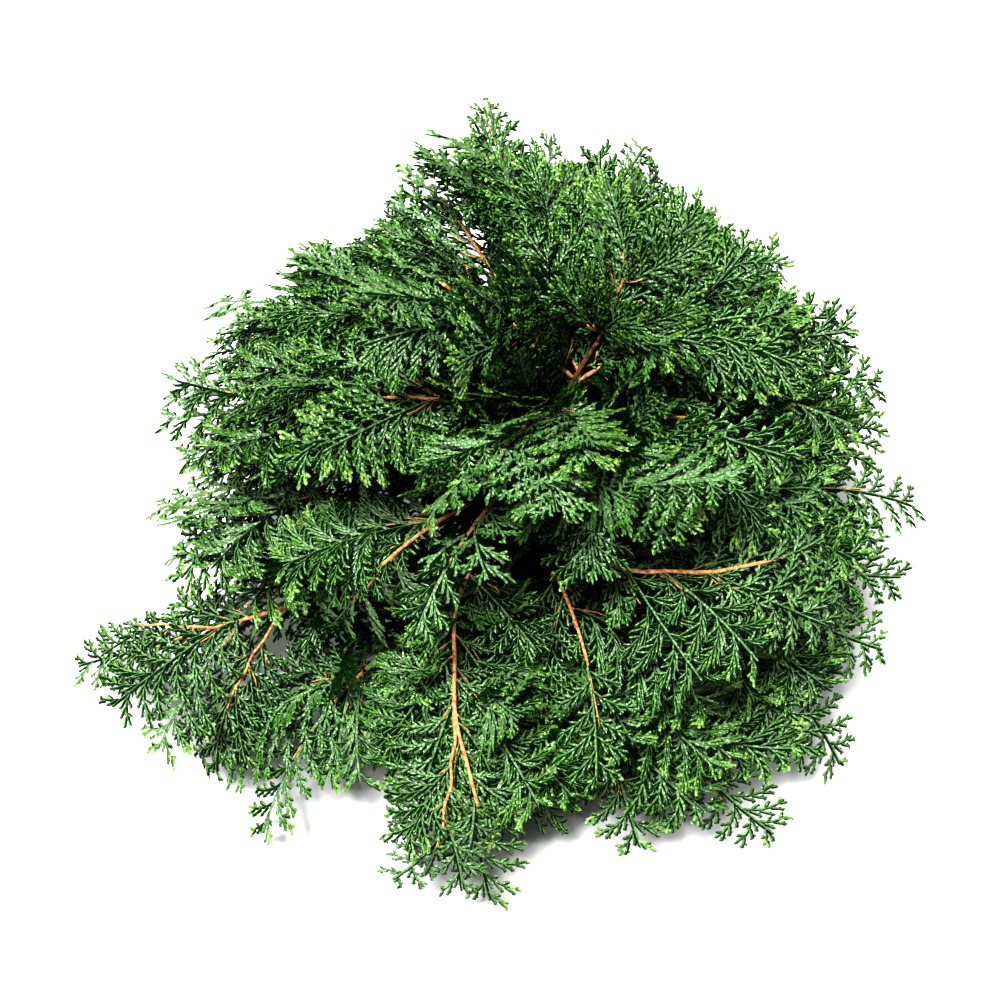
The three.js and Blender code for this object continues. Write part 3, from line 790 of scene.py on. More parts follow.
class SprayShape:
    """One flat spray: a rib, alternate side ribs that curve outward, and combs of branchlets."""

    def __init__(self, length, rule, light, random):
        self.places, self.triangles, self.looks = [], [], []
        self.used = 0
        self.random = random
        self.rule = rule
        self.length = length
        self.light = light
        self.sway = random.uniform(-SWAY_MOST, SWAY_MOST) / length
        self.rib_tone = SHADED if rule.shaded else RIB
        ribs = self.ribs()
        branchlets = self.branchlets(ribs)
        if branchlets is not None:
            self.lobes(branchlets)

    def add(self, places, segments, heading, on, tone, end_tone=None):
        """Adds chains, raised with their distance from where what they stand on leaves the rib."""
        reach = np.hypot(*(places[..., :2] - on.origin[:, None, :]).transpose(2, 0, 1))
        places[..., 2] += on.lift[:, None] * reach + on.bow[:, None] * reach**2
        places[..., 1] += self.sway * places[..., 0] ** 2
        count, corners = places.shape[:2]
        triangles, left, last = chain_faces(segments)
        offsets = self.used + corners * np.arange(count)
        self.places.append(places.reshape(-1, 3))
        self.triangles.append((triangles[None] + offsets[:, None, None]).reshape(-1, 3))
        # Painted light: each chain's half turned to the light takes its tone's paler green, the
        # other half the darker one.
        lit_left = self.light[1] * np.cos(heading) - self.light[0] * np.sin(heading) > 0
        lit = (left[None] == lit_left[:, None]).astype(int)
        end_tone = tone if end_tone is None else end_tone
        tones = np.where(last[None], end_tone[:, None], tone[:, None])
        self.looks.append(TONES[tones, lit].ravel())
        self.used += count * corners

    def ages(self, young):
        """Which tone a chain has, from how young it is."""
        rule = self.rule
        # Sprays inside the crown are all in painted shade.
        if rule.shaded:
            return np.full(len(young), SHADED)
        return np.select([young > rule.tip_from, young > rule.fresh_from], [YOUNG, FRESH], OLD)

    def ribs(self):
        """The spray's rib, and its side ribs to both hands by turns."""
        rule, random, length = self.rule, self.random, self.length
        at = np.arange(RIBS_FROM * length, RIBS_TO * length, 0.5 * rule.rib_gap)
        count = len(at)
        at = at + random.uniform(-RIB_PLACE_STRAY, RIB_PLACE_STRAY, count) * rule.rib_gap
        hand = np.where(np.arange(count) % 2 == 0, 1.0, -1.0)
        share = at / length
        reach = rule.rib_reach * length * np.minimum(1, FIRST_REACH + share)
        reach = reach * np.sqrt(np.clip(1 - share**2, LAST_REACH, 1))
        reach = reach * random.uniform(*RIB_REACH_STRAY, count)
        heading = np.radians(rule.rib_angle - RIB_CLOSING * share)
        heading = heading + random.uniform(-RIB_ANGLE_STRAY, RIB_ANGLE_STRAY, count)
        swing = np.radians(rule.rib_swing) * np.minimum(1, reach / FULL_SWING_AT)
        swing = swing * random.uniform(*RIB_SWING_STRAY, count)
        rise = random.uniform(-RIB_RISE_STRAY, RIB_RISE_STRAY, count)
        ribs = SimpleNamespace(
            at=at, hand=hand, share=share, reach=reach, heading=hand * heading,
            swing=hand * swing, lift=np.radians(rise + rule.dihedral),
            bow=random.uniform(*RIB_BOW, count), origin=np.stack([at, 0 * at], axis=1))
        wide = 0.5 * rule.leaf_width
        zero = np.zeros(1)
        middle = SimpleNamespace(lift=zero, bow=zero, origin=np.zeros((1, 2)))
        spine = chains(
            middle.origin, zero, zero, np.array([length]), np.array([wide]),
            np.array([RIB_HEIGHT * wide]), SPINE_SEGMENTS)
        self.add(spine, SPINE_SEGMENTS, zero, middle, np.array([self.rib_tone]))
        fits = SEGMENTS[np.searchsorted(SEGMENTS[:-1], np.round(reach / SEGMENT_LENGTH))]
        for segments in SEGMENTS:
            some = picked(ribs, fits == segments)
            if len(some.at):
                young = self.ages(mix(RIB_FOOT_AGE, 1, some.share))
                tone = np.where(some.reach > RIBBED_FROM, self.rib_tone, young)
                sizes = np.full((2, len(some.at)), [[RIB_WIDTH * wide], [RIB_HEIGHT * wide]])
                places = chains(
                    some.origin, some.heading, some.swing, some.reach, *sizes, segments)
                turn = some.heading + 0.5 * some.swing
                self.add(places, segments, turn, some, tone, young)
        return ribs

    def branchlets(self, ribs):
        """The combs of branchlets along each side rib, longer and closer on its fore side."""
        rule, random = self.rule, self.random
        rows = []
        for k, reach in enumerate(ribs.reach):
            foot, end = FIRST_BRANCHLET * reach, reach - BRANCHLETS_END
            fore = np.arange(foot + FORE_FROM, end, rule.branchlet_gap)
            back = np.arange(foot + BACK_FROM, end, BACK_GAP * rule.branchlet_gap)
            count = len(fore) + len(back)
            if count:
                stray = random.uniform(-BRANCHLET_PLACE_STRAY, BRANCHLET_PLACE_STRAY, count)
                rows.append(np.stack([
                    np.full(count, k), np.repeat([-1, 1], [len(fore), len(back)]),
                    np.concatenate([fore, back]) + stray * rule.branchlet_gap,
                    random.uniform(*BRANCHLET_SIZE_STRAY, count),
                    random.uniform(-BRANCHLET_ANGLE_STRAY, BRANCHLET_ANGLE_STRAY, count),
                ]))
        if not rows:
            return None
        rib, side, along, size, angle = np.concatenate(rows, axis=1)
        on = picked(ribs, rib.astype(int))
        share = along / on.reach
        is_back = side > 0
        size = size * np.minimum(rule.branchlet_length, BRANCHLET_SHARE * on.reach + BRANCHLET_MORE)
        size = size * np.sqrt(np.clip(1 - share**TAPER_POWER, TAPER_LEAST, 1))
        size = size * mix(TAPER_FIRST, 1, share)
        size = size * np.where(is_back, BACK_SIZE, FORE_SIZE)
        opened = np.where(is_back, BACK_OPENED, np.radians(FORE_OPENED) * share)
        angle = angle + np.radians(rule.branchlet_angle) + opened
        turn = on.heading + 0.5 * on.swing * share
        count = len(along)
        curve = np.radians(rule.branchlet_swing) * on.hand
        curve = curve * random.uniform(*BRANCHLET_CURVE_STRAY, count)
        stray = random.uniform(-BRANCHLET_AGE_STRAY, BRANCHLET_AGE_STRAY, count)
        branchlets = SimpleNamespace(
            start=np.stack([on.at + along * np.cos(turn), along * np.sin(turn)], axis=1),
            heading=on.heading + on.swing * share + on.hand * side * angle, curve=curve,
            length=np.maximum(size, BRANCHLET_SHORTEST),
            young=mix(on.share, share, RIB_AGE_SHARE) + stray,
            own=random.uniform(-BRANCHLET_RISE_STRAY, BRANCHLET_RISE_STRAY, count),
            wide=0.5 * rule.leaf_width * random.uniform(*BRANCHLET_WIDTH_STRAY, count),
            lift=on.lift, bow=on.bow, origin=on.origin)
        long = branchlets.length > rule.knotted_from
        for which, segments in ((long, 3), (~long, 2)):
            some = picked(branchlets, which)
            if len(some.length):
                places = chains(
                    some.start, some.heading, some.curve, some.length, some.wide,
                    BRANCHLET_HEIGHT * some.wide, segments)
                raise_own(places, some.start, some.own)
                self.add(
                    places, segments, some.heading + 0.5 * some.curve, some,
                    self.ages(some.young), self.ages(some.young + END_YOUNGER))
        return branchlets

    def lobes(self, branchlets):
        """Short lobes on the outer half of each long branchlet."""
        rule, random = self.rule, self.random
        some = picked(branchlets, branchlets.length > rule.lobed_from)
        count = len(some.length)
        for share, hand in rule.lobes if count else ():
            stray = random.uniform(-LOBE_PLACE_STRAY, LOBE_PLACE_STRAY, count)
            along = (some.length * (share + stray))[:, None]
            turn = some.heading + 0.5 * some.curve * share
            start = some.start + along * np.stack([np.cos(turn), np.sin(turn)], axis=1)
            opened = hand * np.radians(rule.branchlet_angle + LOBE_OPENED)
            facing = some.heading + some.curve * share + opened
            size = (LOBE_SHARE * some.length + LOBE_MORE) * mix(*LOBE_LESSENS, share)
            places = chains(
                start, facing, np.full(count, hand * LOBE_CURVE),
                size * random.uniform(*LOBE_SIZE_STRAY, count), LOBE_WIDTH * some.wide,
                LOBE_HEIGHT * some.wide, 1)
            raise_own(places, some.start, some.own)
            places[..., 2] += LOBE_RAISED
            self.add(places, 1, facing, some, self.ages(some.young + LOBE_YOUNGER))


def spray_rule(sprig, mass, leaf_width, random):
    """How one spray is shaped, from where it grows and how wide the finest branchlets are."""
    tone = random.uniform(*TONE_STRAY)
    if sprig.kind == "core":
        return SimpleNamespace(**OLD_SPRAY, leaf_width=leaf_width + OLD_SPRAY["wider"])
    if sprig.kind == "fill":
        tone += FILL_OLDER
    habit = CLOSE_SPRAY if mass.path.spec.tip > CLOSE_ABOVE else LONG_SPRAY
    if sprig.outer:
        habit = RIM_SPRAY
    elif sprig.length < FAN_BELOW:
        habit = FAN_SPRAY
    reach = min(RIB_SHARE, (RIB_LEAST + RIB_MORE * sprig.length) / sprig.length)
    rule = SimpleNamespace(
        **habit, leaf_width=leaf_width + habit["wider"], shaded=False,
        rib_angle=random.uniform(*RIB_ANGLE), dihedral=random.uniform(*DIHEDRAL),
        tip_from=TIP_FROM + tone, fresh_from=FRESH_FROM + tone,
        rib_reach=reach * (AIRY_REACH if mass.name in AIRY else 1),
        rib_swing=random.uniform(*RIB_SWING))
    rule.branchlet_angle = random.uniform(*rule.branchlet_angle)
    return rule


def leafed(sprig):
    """The same sprig with its blade begun on its stalk, where its first ribs stand."""
    if sprig.kind == "end":
        return sprig
    root = mix(sprig.foot, sprig.root, 0 if sprig.kind == "core" else LEAFED_FROM)
    reach = sprig.root + sprig.along * sprig.length - root
    along = normalise(reach)
    side = normalise(sprig.side - along * (sprig.side @ along))
    return SimpleNamespace(**{
        **vars(sprig), "root": root, "along": along, "side": side,
        "top": np.cross(along, side), "length": np.linalg.norm(reach),
    })


def placed_spray(sprig, rule, random):
    """The places, triangles and looks of a sprig's spray, which curls down towards its tip."""
    sprig = leafed(sprig)
    light = (TO_LIGHT @ sprig.along, TO_LIGHT @ sprig.side)
    shape = SprayShape(sprig.length, rule, light, random)
    p = np.concatenate(shape.places)
    curl = math.radians(sprig.bend) / sprig.length
    up = p[:, 2] - 0.5 * curl * p[:, 0] ** 2
    world = sprig.root + p[:, :1] * sprig.along + p[:, 1:2] * sprig.side + up[:, None] * sprig.top
    return world, np.concatenate(shape.triangles), np.concatenate(shape.looks)


# ---------------------------------------------------------------- meshes


class MeshParts:
    """Collects places, triangles and looks of like things, and makes them one object."""

    def __init__(self):
        self.places, self.triangles, self.looks, self.used = [], [], [], 0

    def add(self, places, triangles, looks=0):
        self.places.append(places)
        self.triangles.append(triangles + self.used)
        self.looks.append(np.broadcast_to(looks, len(triangles)))
        self.used += len(places)

    def build(self, name, materials):
        places = np.concatenate(self.places) * METRES
        triangles = np.concatenate(self.triangles)
        count = len(triangles)
        mesh = bpy.data.meshes.new(name)
        mesh.vertices.add(len(places))
        mesh.vertices.foreach_set("co", places.astype(np.float32).ravel())
        mesh.loops.add(3 * count)
        mesh.loops.foreach_set("vertex_index", triangles.astype(np.int32).ravel())
        faces = mesh.polygons
        faces.add(count)
        faces.foreach_set("loop_start", np.arange(0, 3 * count, 3, dtype=np.int32))
        faces.foreach_set("material_index", np.concatenate(self.looks).astype(np.int32))
        faces.foreach_set("use_smooth", np.full(count, True))
        mesh.update()
        for material in materials:
            mesh.materials.append(material)
        piece = bpy.data.objects.new(name, mesh)
        bpy.context.scene.collection.objects.link(piece)
        return piece


def tube_faces(rows, sides):
    """The triangles of a closed tube whose places come ring by ring."""
    ring = np.arange(sides)
    rings = sides * np.arange(rows - 1)[:, None]
    a, b = (rings + ring).ravel(), (rings + (ring + 1) % sides).ravel()
    fan = np.arange(1, sides - 1)
    foot, tip = 0 * fan, 0 * fan + (rows - 1) * sides
    return np.concatenate([np.stack(corners, 1) for corners in (
        (a, b, b + sides), (a, b + sides, a + sides), (foot, fan + 1, fan),
        (tip, tip + fan, tip + fan + 1))])


def tube(points, radii, sides, lead):
    """A closed tube along points. lead is a direction that is never along it."""
    points = np.asarray(points, float)
    steps = np.gradient(points, axis=0)
    steps /= np.linalg.norm(steps, axis=1)[:, None]
    across = np.cross(np.broadcast_to(lead, steps.shape), steps)
    across /= np.linalg.norm(across, axis=1)[:, None]
    over = np.cross(steps, across)
    turn = 2 * math.pi * np.arange(sides)[:, None] / sides
    ring = across[:, None] * np.cos(turn) + over[:, None] * np.sin(turn)
    places = points[:, None] + ring * np.asarray(radii)[:, None, None]
    return places.reshape(-1, 3), tube_faces(len(points), sides)


# ---------------------------------------------------------------- materials


def srgb(red, green, blue):
    """A colour given in sRGB steps of 255, as Blender's linear colour."""
    values = [c / 255 for c in (red, green, blue)]
    return tuple(c / 12.92 if c <= 0.04045 else ((c + 0.055) / 1.055) ** 2.4 for c in values)


def set_inputs(tree, node, inputs):
    """Gives each input of a node its plain value, or links the socket that is given for it."""
    for name, value in inputs.items():
        if isinstance(value, bpy.types.NodeSocket):
            tree.links.new(value, node.inputs[name])
        else:
            node.inputs[name].default_value = value


def add_node(tree, kind, inputs, **settings):
    node = tree.nodes.new(kind)
    for name, value in settings.items():
        setattr(node, name, value)
    set_inputs(tree, node, inputs)
    return node


def new_group(name, colours, values):
    """An empty node group with its named sockets, and the nodes for its inputs and outputs."""
    group = bpy.data.node_groups.new(name, "ShaderNodeTree")
    for direction, kind, labels in (
            ("INPUT", "NodeSocketColor", colours), ("INPUT", "NodeSocketFloat", values),
            ("OUTPUT", "NodeSocketColor", ["Colour"]),
            ("OUTPUT", "NodeSocketFloat", ["Roughness", "Height"])):
        for label in labels:
            group.interface.new_socket(label, in_out=direction, socket_type=kind)
    return group, group.nodes.new("NodeGroupInput").outputs, group.nodes.new("NodeGroupOutput")


def stepped(tree, value, low, high, most=1.0):
    """A value's way from low to high, as 0 to most."""
    step = {"Value": value, "From Min": low, "From Max": high, "To Max": most}
    return add_node(tree, "ShaderNodeMapRange", step).outputs["Result"]


def blended(tree, share, first, second):
    colours = {"Factor": share, "A": first, "B": second}
    return add_node(tree, "ShaderNodeMix", colours, data_type="RGBA").outputs["Result"]


def roughened(tree, value, by, least):
    """The roughness, which grows with a value from the least."""
    sums = {0: value, 1: by, 2: least}
    return add_node(tree, "ShaderNodeMath", sums, operation="MULTIPLY_ADD").outputs["Value"]


# Leaf grain: the size of its patches and scales, how sharply its patches and its painted seam shade
# begin, how much of that painted shade shows, how much rougher a seam is, and how deep they lie.
PATCH_SIZE = 90
SCALE_SIZE = 600
PATCHES = (0.35, 0.65)
SEAM_SHADE_STEPS = (0.34, 0.6)
SEAM_SHADE_MOST = 0.8
SEAM_ROUGHER = 0.3
SCALE_DEPTH = 0.0009

# How dark the darkest patches of a green are, and the painted shade where its scales meet.
LEAF_DARKER = 0.62
LEAF_SEAM_SHADE = 0.36

# Bark: how sharply its furrows begin, how uneven and much rougher it is, and how deep its relief.
FURROWS = (0.36, 0.62)
FIBRE_UNEVEN = 0.65
FIBRE_ROUGHER = 0.2
FIBRE_STRENGTH = 0.8
FIBRE_DEPTH = 0.0008


def leaf_grain_group():
    """Uneven green from spray to spray, painted shade where scale leaves meet, and their small
    overlapping bumps.
    """
    group, given, made = new_group(
        "Scale leaf grain", ("Colour", "Darker", "Seam"), ("Patch Size", "Scale Size", "Roughness"))
    where = group.nodes.new("ShaderNodeTexCoord").outputs["Object"]
    patches = add_node(
        group, "ShaderNodeTexNoise", {"Vector": where, "Scale": given["Patch Size"], "Detail": 3})
    scales = add_node(
        group, "ShaderNodeTexVoronoi", {"Vector": where, "Scale": given["Scale Size"]})
    height = scales.outputs["Distance"]
    share = stepped(group, patches.outputs["Fac"], *PATCHES)
    green = blended(group, share, given["Darker"], given["Colour"])
    # Painted shade: where scale leaves meet, the colour darkens towards a darker green.
    seam_shade = stepped(group, height, *SEAM_SHADE_STEPS, SEAM_SHADE_MOST)
    set_inputs(group, made, {
        "Colour": blended(group, seam_shade, green, given["Seam"]),
        "Roughness": roughened(group, height, SEAM_ROUGHER, given["Roughness"]),
        "Height": height,
    })
    return group


def bark_group():
    """Thin fibrous bark: streaks of two browns, rougher and higher where they are pale."""
    group, given, made = new_group(
        "Fibrous bark", ("Colour", "Furrow"), ("Fibre Size", "Roughness"))
    where = group.nodes.new("ShaderNodeTexCoord").outputs["Object"]
    fibres = add_node(group, "ShaderNodeTexNoise", {
        "Vector": where, "Scale": given["Fibre Size"], "Detail": 5,
        "Roughness": FIBRE_UNEVEN})
    height = fibres.outputs["Fac"]
    share = stepped(group, height, *FURROWS)
    set_inputs(group, made, {
        "Colour": blended(group, share, given["Furrow"], given["Colour"]),
        "Roughness": roughened(group, height, FIBRE_ROUGHER, given["Roughness"]),
        "Height": height,
    })
    return group


def make_material(name, group, values, strength, depth, specular=0.5):
    """A material that takes its colour, roughness and relief from one of the groups."""
    material = bpy.data.materials.new(name)
    material.use_nodes = True
    tree = material.node_tree
    surface = add_node(tree, "ShaderNodeGroup", values, node_tree=group).outputs
    relief = add_node(tree, "ShaderNodeBump", {
        "Height": surface["Height"], "Strength": strength, "Distance": depth})
    set_inputs(tree, tree.nodes["Principled BSDF"], {
        "Base Color": surface["Colour"], "Roughness": surface["Roughness"],
        "Normal": relief.outputs["Normal"], "Specular IOR Level": specular,
    })
    return material


def leaf_material(name, colour, roughness, specular):
    group = bpy.data.node_groups.get("Scale leaf grain") or leaf_grain_group()
    values = {
        "Colour": (*colour, 1), "Darker": (*(LEAF_DARKER * c for c in colour), 1),
        "Seam": (*(LEAF_SEAM_SHADE * c for c in colour), 1), "Patch Size": PATCH_SIZE,
        "Scale Size": SCALE_SIZE, "Roughness": roughness,
    }
    return make_material(name, group, values, 1, SCALE_DEPTH, specular)


def bark_material(name, colour, furrow, fibre, roughness):
    group = bpy.data.node_groups.get("Fibrous bark") or bark_group()
    values = {
        "Colour": (*colour, 1), "Furrow": (*furrow, 1), "Fibre Size": fibre, "Roughness": roughness}
    return make_material(name, group, values, FIBRE_STRENGTH, FIBRE_DEPTH)


# ---------------------------------------------------------------- settings


def colour_setting(name, description, *steps):
    """A colour for the user to change, with its default in sRGB steps."""
    return FloatVectorProperty(
        name=name, description=description, default=srgb(*steps), subtype="COLOR")


class HinokiBarkSettings(PropertyGroup):
    """Sizes and colours of the bark."""

    strip_depth: FloatProperty(
        name="Strip Depth", description="How deep the furrows between bark strips are",
        default=0.0005, subtype="DISTANCE", unit="LENGTH")
    strip_count: IntProperty(
        name="Strips", description="How many bark strips go round the trunk", default=11, min=3)
    trunk_colour: colour_setting("Trunk Colour", "Old bark", 140, 92, 60)
    trunk_furrow: colour_setting("Trunk Furrow", "Furrows of the old bark", 70, 38, 22)
    twig_colour: colour_setting("Twig Colour", "Young orange-brown bark", 224, 172, 118)
    twig_furrow: colour_setting("Twig Furrow", "Darker streaks of the young bark", 138, 86, 46)


class HinokiLeafSettings(PropertyGroup):
    """Sizes and colours of the foliage."""

    leaf_width: FloatProperty(
        name="Branchlet Width", description="Width of a fine branchlet with its scale leaves",
        default=0.0022, subtype="DISTANCE", unit="LENGTH")
    shade_colour: colour_setting("Shade Green", "Old foliage inside the crown, darkened as painted shade", 34, 84, 18)
    # Painted shade and painted highlight: the dull and sage greens are the shaded and lit halves of
    # branchlets.
    shaded_half_colour: colour_setting("Shaded Half Green", "Painted shade on branchlet halves turned from the light", 10, 54, 2)
    lit_sage_colour: colour_setting("Lit Sage Green", "Painted highlight on old branchlet halves turned to the light", 120, 162, 100)
    fresh_colour: colour_setting("Fresh Green", "Fresh green of outer branchlets, on their painted lit halves and the youngest's shaded halves", 92, 146, 50)
    tip_colour: colour_setting("Tip Green", "Young yellow-green ends, on their painted lit halves", 152, 186, 96)
    rib_colour: colour_setting("Rib Green", "Paler ribs of the sprays", 120, 158, 102)


class HinokiStageSettings(PropertyGroup):
    """The camera and lights."""

    elevation: FloatProperty(
        name="Camera Elevation", description="How far above level the camera looks from",
        default=math.radians(55), subtype="ANGLE", unit="ROTATION")
    distance: FloatProperty(
        name="Camera Distance", description="From the camera to the middle of the crown",
        default=1.1, subtype="DISTANCE", unit="LENGTH")
    lens: FloatProperty(name="Lens", description="Focal length in millimetres", default=66)
    key_strength: FloatProperty(
        name="Key Strength", description="Strength of the soft overhead light", default=6.8)
    key_spread: FloatProperty(
        name="Key Spread", description="Angle that the overhead light fills",
        default=math.radians(17), subtype="ANGLE", unit="ROTATION")
    side_strength: FloatProperty(
        name="Side Strength", description="Strength of the lights to both sides", default=1.1)
    fill_strength: FloatProperty(
        name="Fill Strength", description="Brightness of the even surrounding light", default=0.14)


# ---------------------------------------------------------------- operators

# The trunk's mesh: its rings, which stand closer at the foot, and the places round each.
TRUNK_RINGS = 90
TRUNK_SIDES = 44
TRUNK_CLOSER = 1.15

# Its relief: the radius from which on it has its full depth, how much of that strips and flakes
# take, and the waves in which they wander, as heights of a turn and depths.
FULL_STRIPS_RADIUS = 5
STRIP_SHARE = 0.8
FLAKE_SHARE = 0.3
STRIP_WANDER = ((13, 1.4, 0), (5, 0.7, 2))
FLAKE_HEIGHTS = (3.1, 17)

# Boughs and stems: their rings and sides, and the waves of their radius, as shares of it.
BOUGH_RINGS, BOUGH_SIDES = 24, 12
STEM_RINGS, SHOWN_RINGS, STEM_SIDES = 16, 48, 8
BOUGH_WAVES = ((37, 0.05), (91, 0.04))
STEM_WAVES = (53, 0.06)
KNOTS = (149, 31, 0.1)
SWAYS = 27

# The rings and sides of an end sprig's stalk and of any other.
END_STALK_SHAPE = (6, 6)
SIDE_STALK_SHAPE = (2, 4)

# Old and young bark: how fine their fibres are, and their roughness.
OLD_BARK = (260, 0.7)
YOUNG_BARK = (420, 0.55)

SEEDS_PER_MASS = 1000

# Gloss of each green, as roughness and specular level, in the order of the looks.
LEAF_FINISHES = (
    ("Shade leaves", "shade_colour", 0.5, 0.3),
    ("Dull leaves", "shaded_half_colour", 0.5, 0.14),
    ("Sage leaves", "lit_sage_colour", 0.3, 1.0),
    ("Fresh leaves", "fresh_colour", 0.3, 0.9),
    ("Young tips", "tip_colour", 0.34, 0.7),
    ("Ribs", "rib_colour", 0.34, 0.7),
)

# The boughs' masses are joined by the direction of their limb, up to these in degrees round the
# trunk, and those of inner limbs by whether they end above a height.
ZONES = (
    (-125, "left"), (-40, "front"), (25, "right"), (90, "back_right"), (140, "back_left"),
    (180, "left"),
)
CROWN_ABOVE = 230

FLOOR_SIZE = 60
FLOOR_GREY = (0.8, 0.8, 0.8)
FLOOR_ROUGHNESS = 0.9
WALL_GREY = (0.9, 0.9, 0.9)
CROWN_MIDDLE = Vector((-0.011, 0, 0.129))
LIGHTS_TO = Vector((0, 0, 0.15))
OVERHEAD_FROM = (-0.5, -0.6, 2.6)
SIDE_FROM = (2.2, 1.6, 1.3)
SIDE_SPREAD = 0.6
GAMMA = 0.88


def finish_piece(piece, nodes=()):
    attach(piece, BODY)
    if nodes:
        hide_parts(*nodes)


class HINOKI_OT_trunk(Operator):
    """Makes the leaning trunk with its root flare and its strips of bark."""

    bl_idname = "hinoki.trunk"
    bl_label = "Trunk"

    def execute(self, context):
        bark = context.scene.hinoki_bark
        angle = 2 * math.pi * np.arange(TRUNK_SIDES) / TRUNK_SIDES
        strip_depth = bark.strip_depth / METRES
        rings = []
        for h in TRUNK_HEIGHT * np.linspace(0, 1, TRUNK_RINGS) ** TRUNK_CLOSER:
            wander = sum(
                depth * np.sin(h / height + turns * angle) for height, depth, turns in STRIP_WANDER)
            strips = np.abs(np.sin(bark.strip_count * angle + wander)) - 1
            low, high = FLAKE_HEIGHTS
            flakes = h / low + 3 * np.sin(5 * angle) + 2 * np.sin(2 * angle + h / high)
            relief = STRIP_SHARE * strips + FLAKE_SHARE * np.sin(flakes)
            relief = relief * strip_depth * min(1, trunk_radius(h) / FULL_STRIPS_RADIUS)
            radius = trunk_radius(h) + flare(h, angle) + relief
            x, y, _ = trunk_centre(h)
            rings.append(np.stack(
                [x + radius * np.cos(angle), y + radius * np.sin(angle), 0 * angle + h], axis=1))
        parts = MeshParts()
        parts.add(np.concatenate(rings), tube_faces(TRUNK_RINGS, TRUNK_SIDES))
        material = bark_material("Old bark", bark.trunk_colour, bark.trunk_furrow, *OLD_BARK)
        finish_piece(parts.build("trunk_bark", [material]), ["trunk"])
        return {"FINISHED"}


class HINOKI_OT_limbs(Operator):
    """Makes the main boughs, and the stems and stalks that carry the sprays."""

    bl_idname = "hinoki.limbs"
    bl_label = "Boughs and Twigs"

    def execute(self, context):
        bark = context.scene.hinoki_bark
        material = bark_material("Young bark", bark.twig_colour, bark.twig_furrow, *YOUNG_BARK)
        boughs, twigs = MeshParts(), MeshParts()
        for mass in plant():
            if mass.on_bough:
                boughs.add(*bough_tube(mass))
            twigs.add(*stem_tube(mass))
            for sprig in mass.sprigs:
                if sprig.kind != "core":
                    twigs.add(*stalk_tube(sprig, mass))
        names = [f"bough_{m.name}" for m in plant() if m.on_bough]
        finish_piece(boughs.build("bough_bark", [material]), names)
        finish_piece(twigs.build("twigs", [material]))
        return {"FINISHED"}


def bough_tube(mass):
    """A main bough, from the trunk's middle to where it enters its mass."""
    bare = mass.path.spec.bare
    radius = limb_radius(mass.path.spec.joint)
    t = np.linspace(0, bare, BOUGH_RINGS)
    radii = mix(radius, min(radius, BOUGH_END_RADIUS), t / bare)
    (slow, deep), (fast, shallow) = BOUGH_WAVES
    radii = radii * (1 + deep * np.sin(slow * t + mass.index) + shallow * np.sin(fast * t))
    return tube([mass.path.at(x) for x in t], radii, BOUGH_SIDES, UPWARD)


def stem_tube(mass):
    """A mass's stem, up to its end sprig. That of a bare limb is knotty and sways aside."""
    path, spec, phase = mass.path, mass.path.spec, mass.index
    foot_radius = BOUGH_END_RADIUS
    if mass.forked:
        foot_radius = SHOWN_TIP_RADIUS
    elif not mass.on_bough and not mass.shown:
        foot_radius = min(foot_radius, limb_radius(min(spec.joint, TRUNK_HEIGHT)))
    tip_radius = STEM_TIP_RADIUS
    if mass.shown:
        tip_radius = FORK_TIP_RADIUS if mass.forked else SHOWN_TIP_RADIUS
    rings = SHOWN_RINGS if mass.shown else STEM_RINGS
    t = np.linspace(spec.bare if mass.on_bough else 0, 1 - path.end_share, rings)
    radii = mix(foot_radius, tip_radius, (t - t[0]) / (t[-1] - t[0]))
    waves, deep = STEM_WAVES
    radii = radii * (1 + deep * np.sin(waves * t + phase))
    points = np.array([path.at(x) for x in t])
    if mass.shown:
        fast, slow, deep = KNOTS
        radii = radii * (1 + deep * np.sin(fast * t) * np.sin(slow * t + phase))
        sway = CROOKED * np.sin(SWAYS * t + phase) * np.sin(math.pi * t)
        points = points + path.left * sway[:, None]
    return tube(points, radii, STEM_SIDES, UPWARD)


def stalk_tube(sprig, mass):
    """The stalk of a sprig, which runs on into its blade as a thinning twig."""
    (rings, sides), radius, wooded = SIDE_STALK_SHAPE, SIDE_STALK_RADIUS, SIDE_WOODED
    if sprig.kind == "end":
        (rings, sides), radius = END_STALK_SHAPE, STALK_RADIUS
        wooded = SHOWN_WOODED if mass.shown else END_WOODED
    curl = math.radians(sprig.bend) / sprig.length
    points = [mix(sprig.foot, sprig.root, share) for share in (0, 0.5, 1)]
    for u in np.linspace(0, wooded, rings)[1:] * sprig.length:
        points.append(sprig.root + sprig.along * u - sprig.top * (0.5 * curl * u * u - STALK_OVER))
    radii = np.linspace(radius, STALK_END_RADIUS, len(points))
    return tube(points, radii, sides, sprig.top + 0.01)


class HINOKI_OT_foliage(Operator):
    """Makes every mass of foliage as joined sprays of scale leaves."""

    bl_idname = "hinoki.foliage"
    bl_label = "Foliage"

    def execute(self, context):
        leaf = context.scene.hinoki_leaf
        leaf_width = round(leaf.leaf_width / METRES, 3)
        materials = [
            leaf_material(name, getattr(leaf, colour), roughness, specular)
            for name, colour, roughness, specular in LEAF_FINISHES
        ]
        groups = {}
        for mass in plant():
            groups.setdefault(zone_of(mass), []).append(mass)
        for (zone, slot), masses in groups.items():
            parts = MeshParts()
            for mass in masses:
                for k, sprig in enumerate(mass.sprigs):
                    random = np.random.default_rng(SEEDS_PER_MASS * mass.index + k)
                    rule = spray_rule(sprig, mass, leaf_width, random)
                    parts.add(*placed_spray(sprig, rule, random))
            piece = parts.build(f"sprays_{zone}", materials)
            finish_piece(piece, [f"foliage_{m.name}" for m in masses if not m.shown])
        return {"FINISHED"}


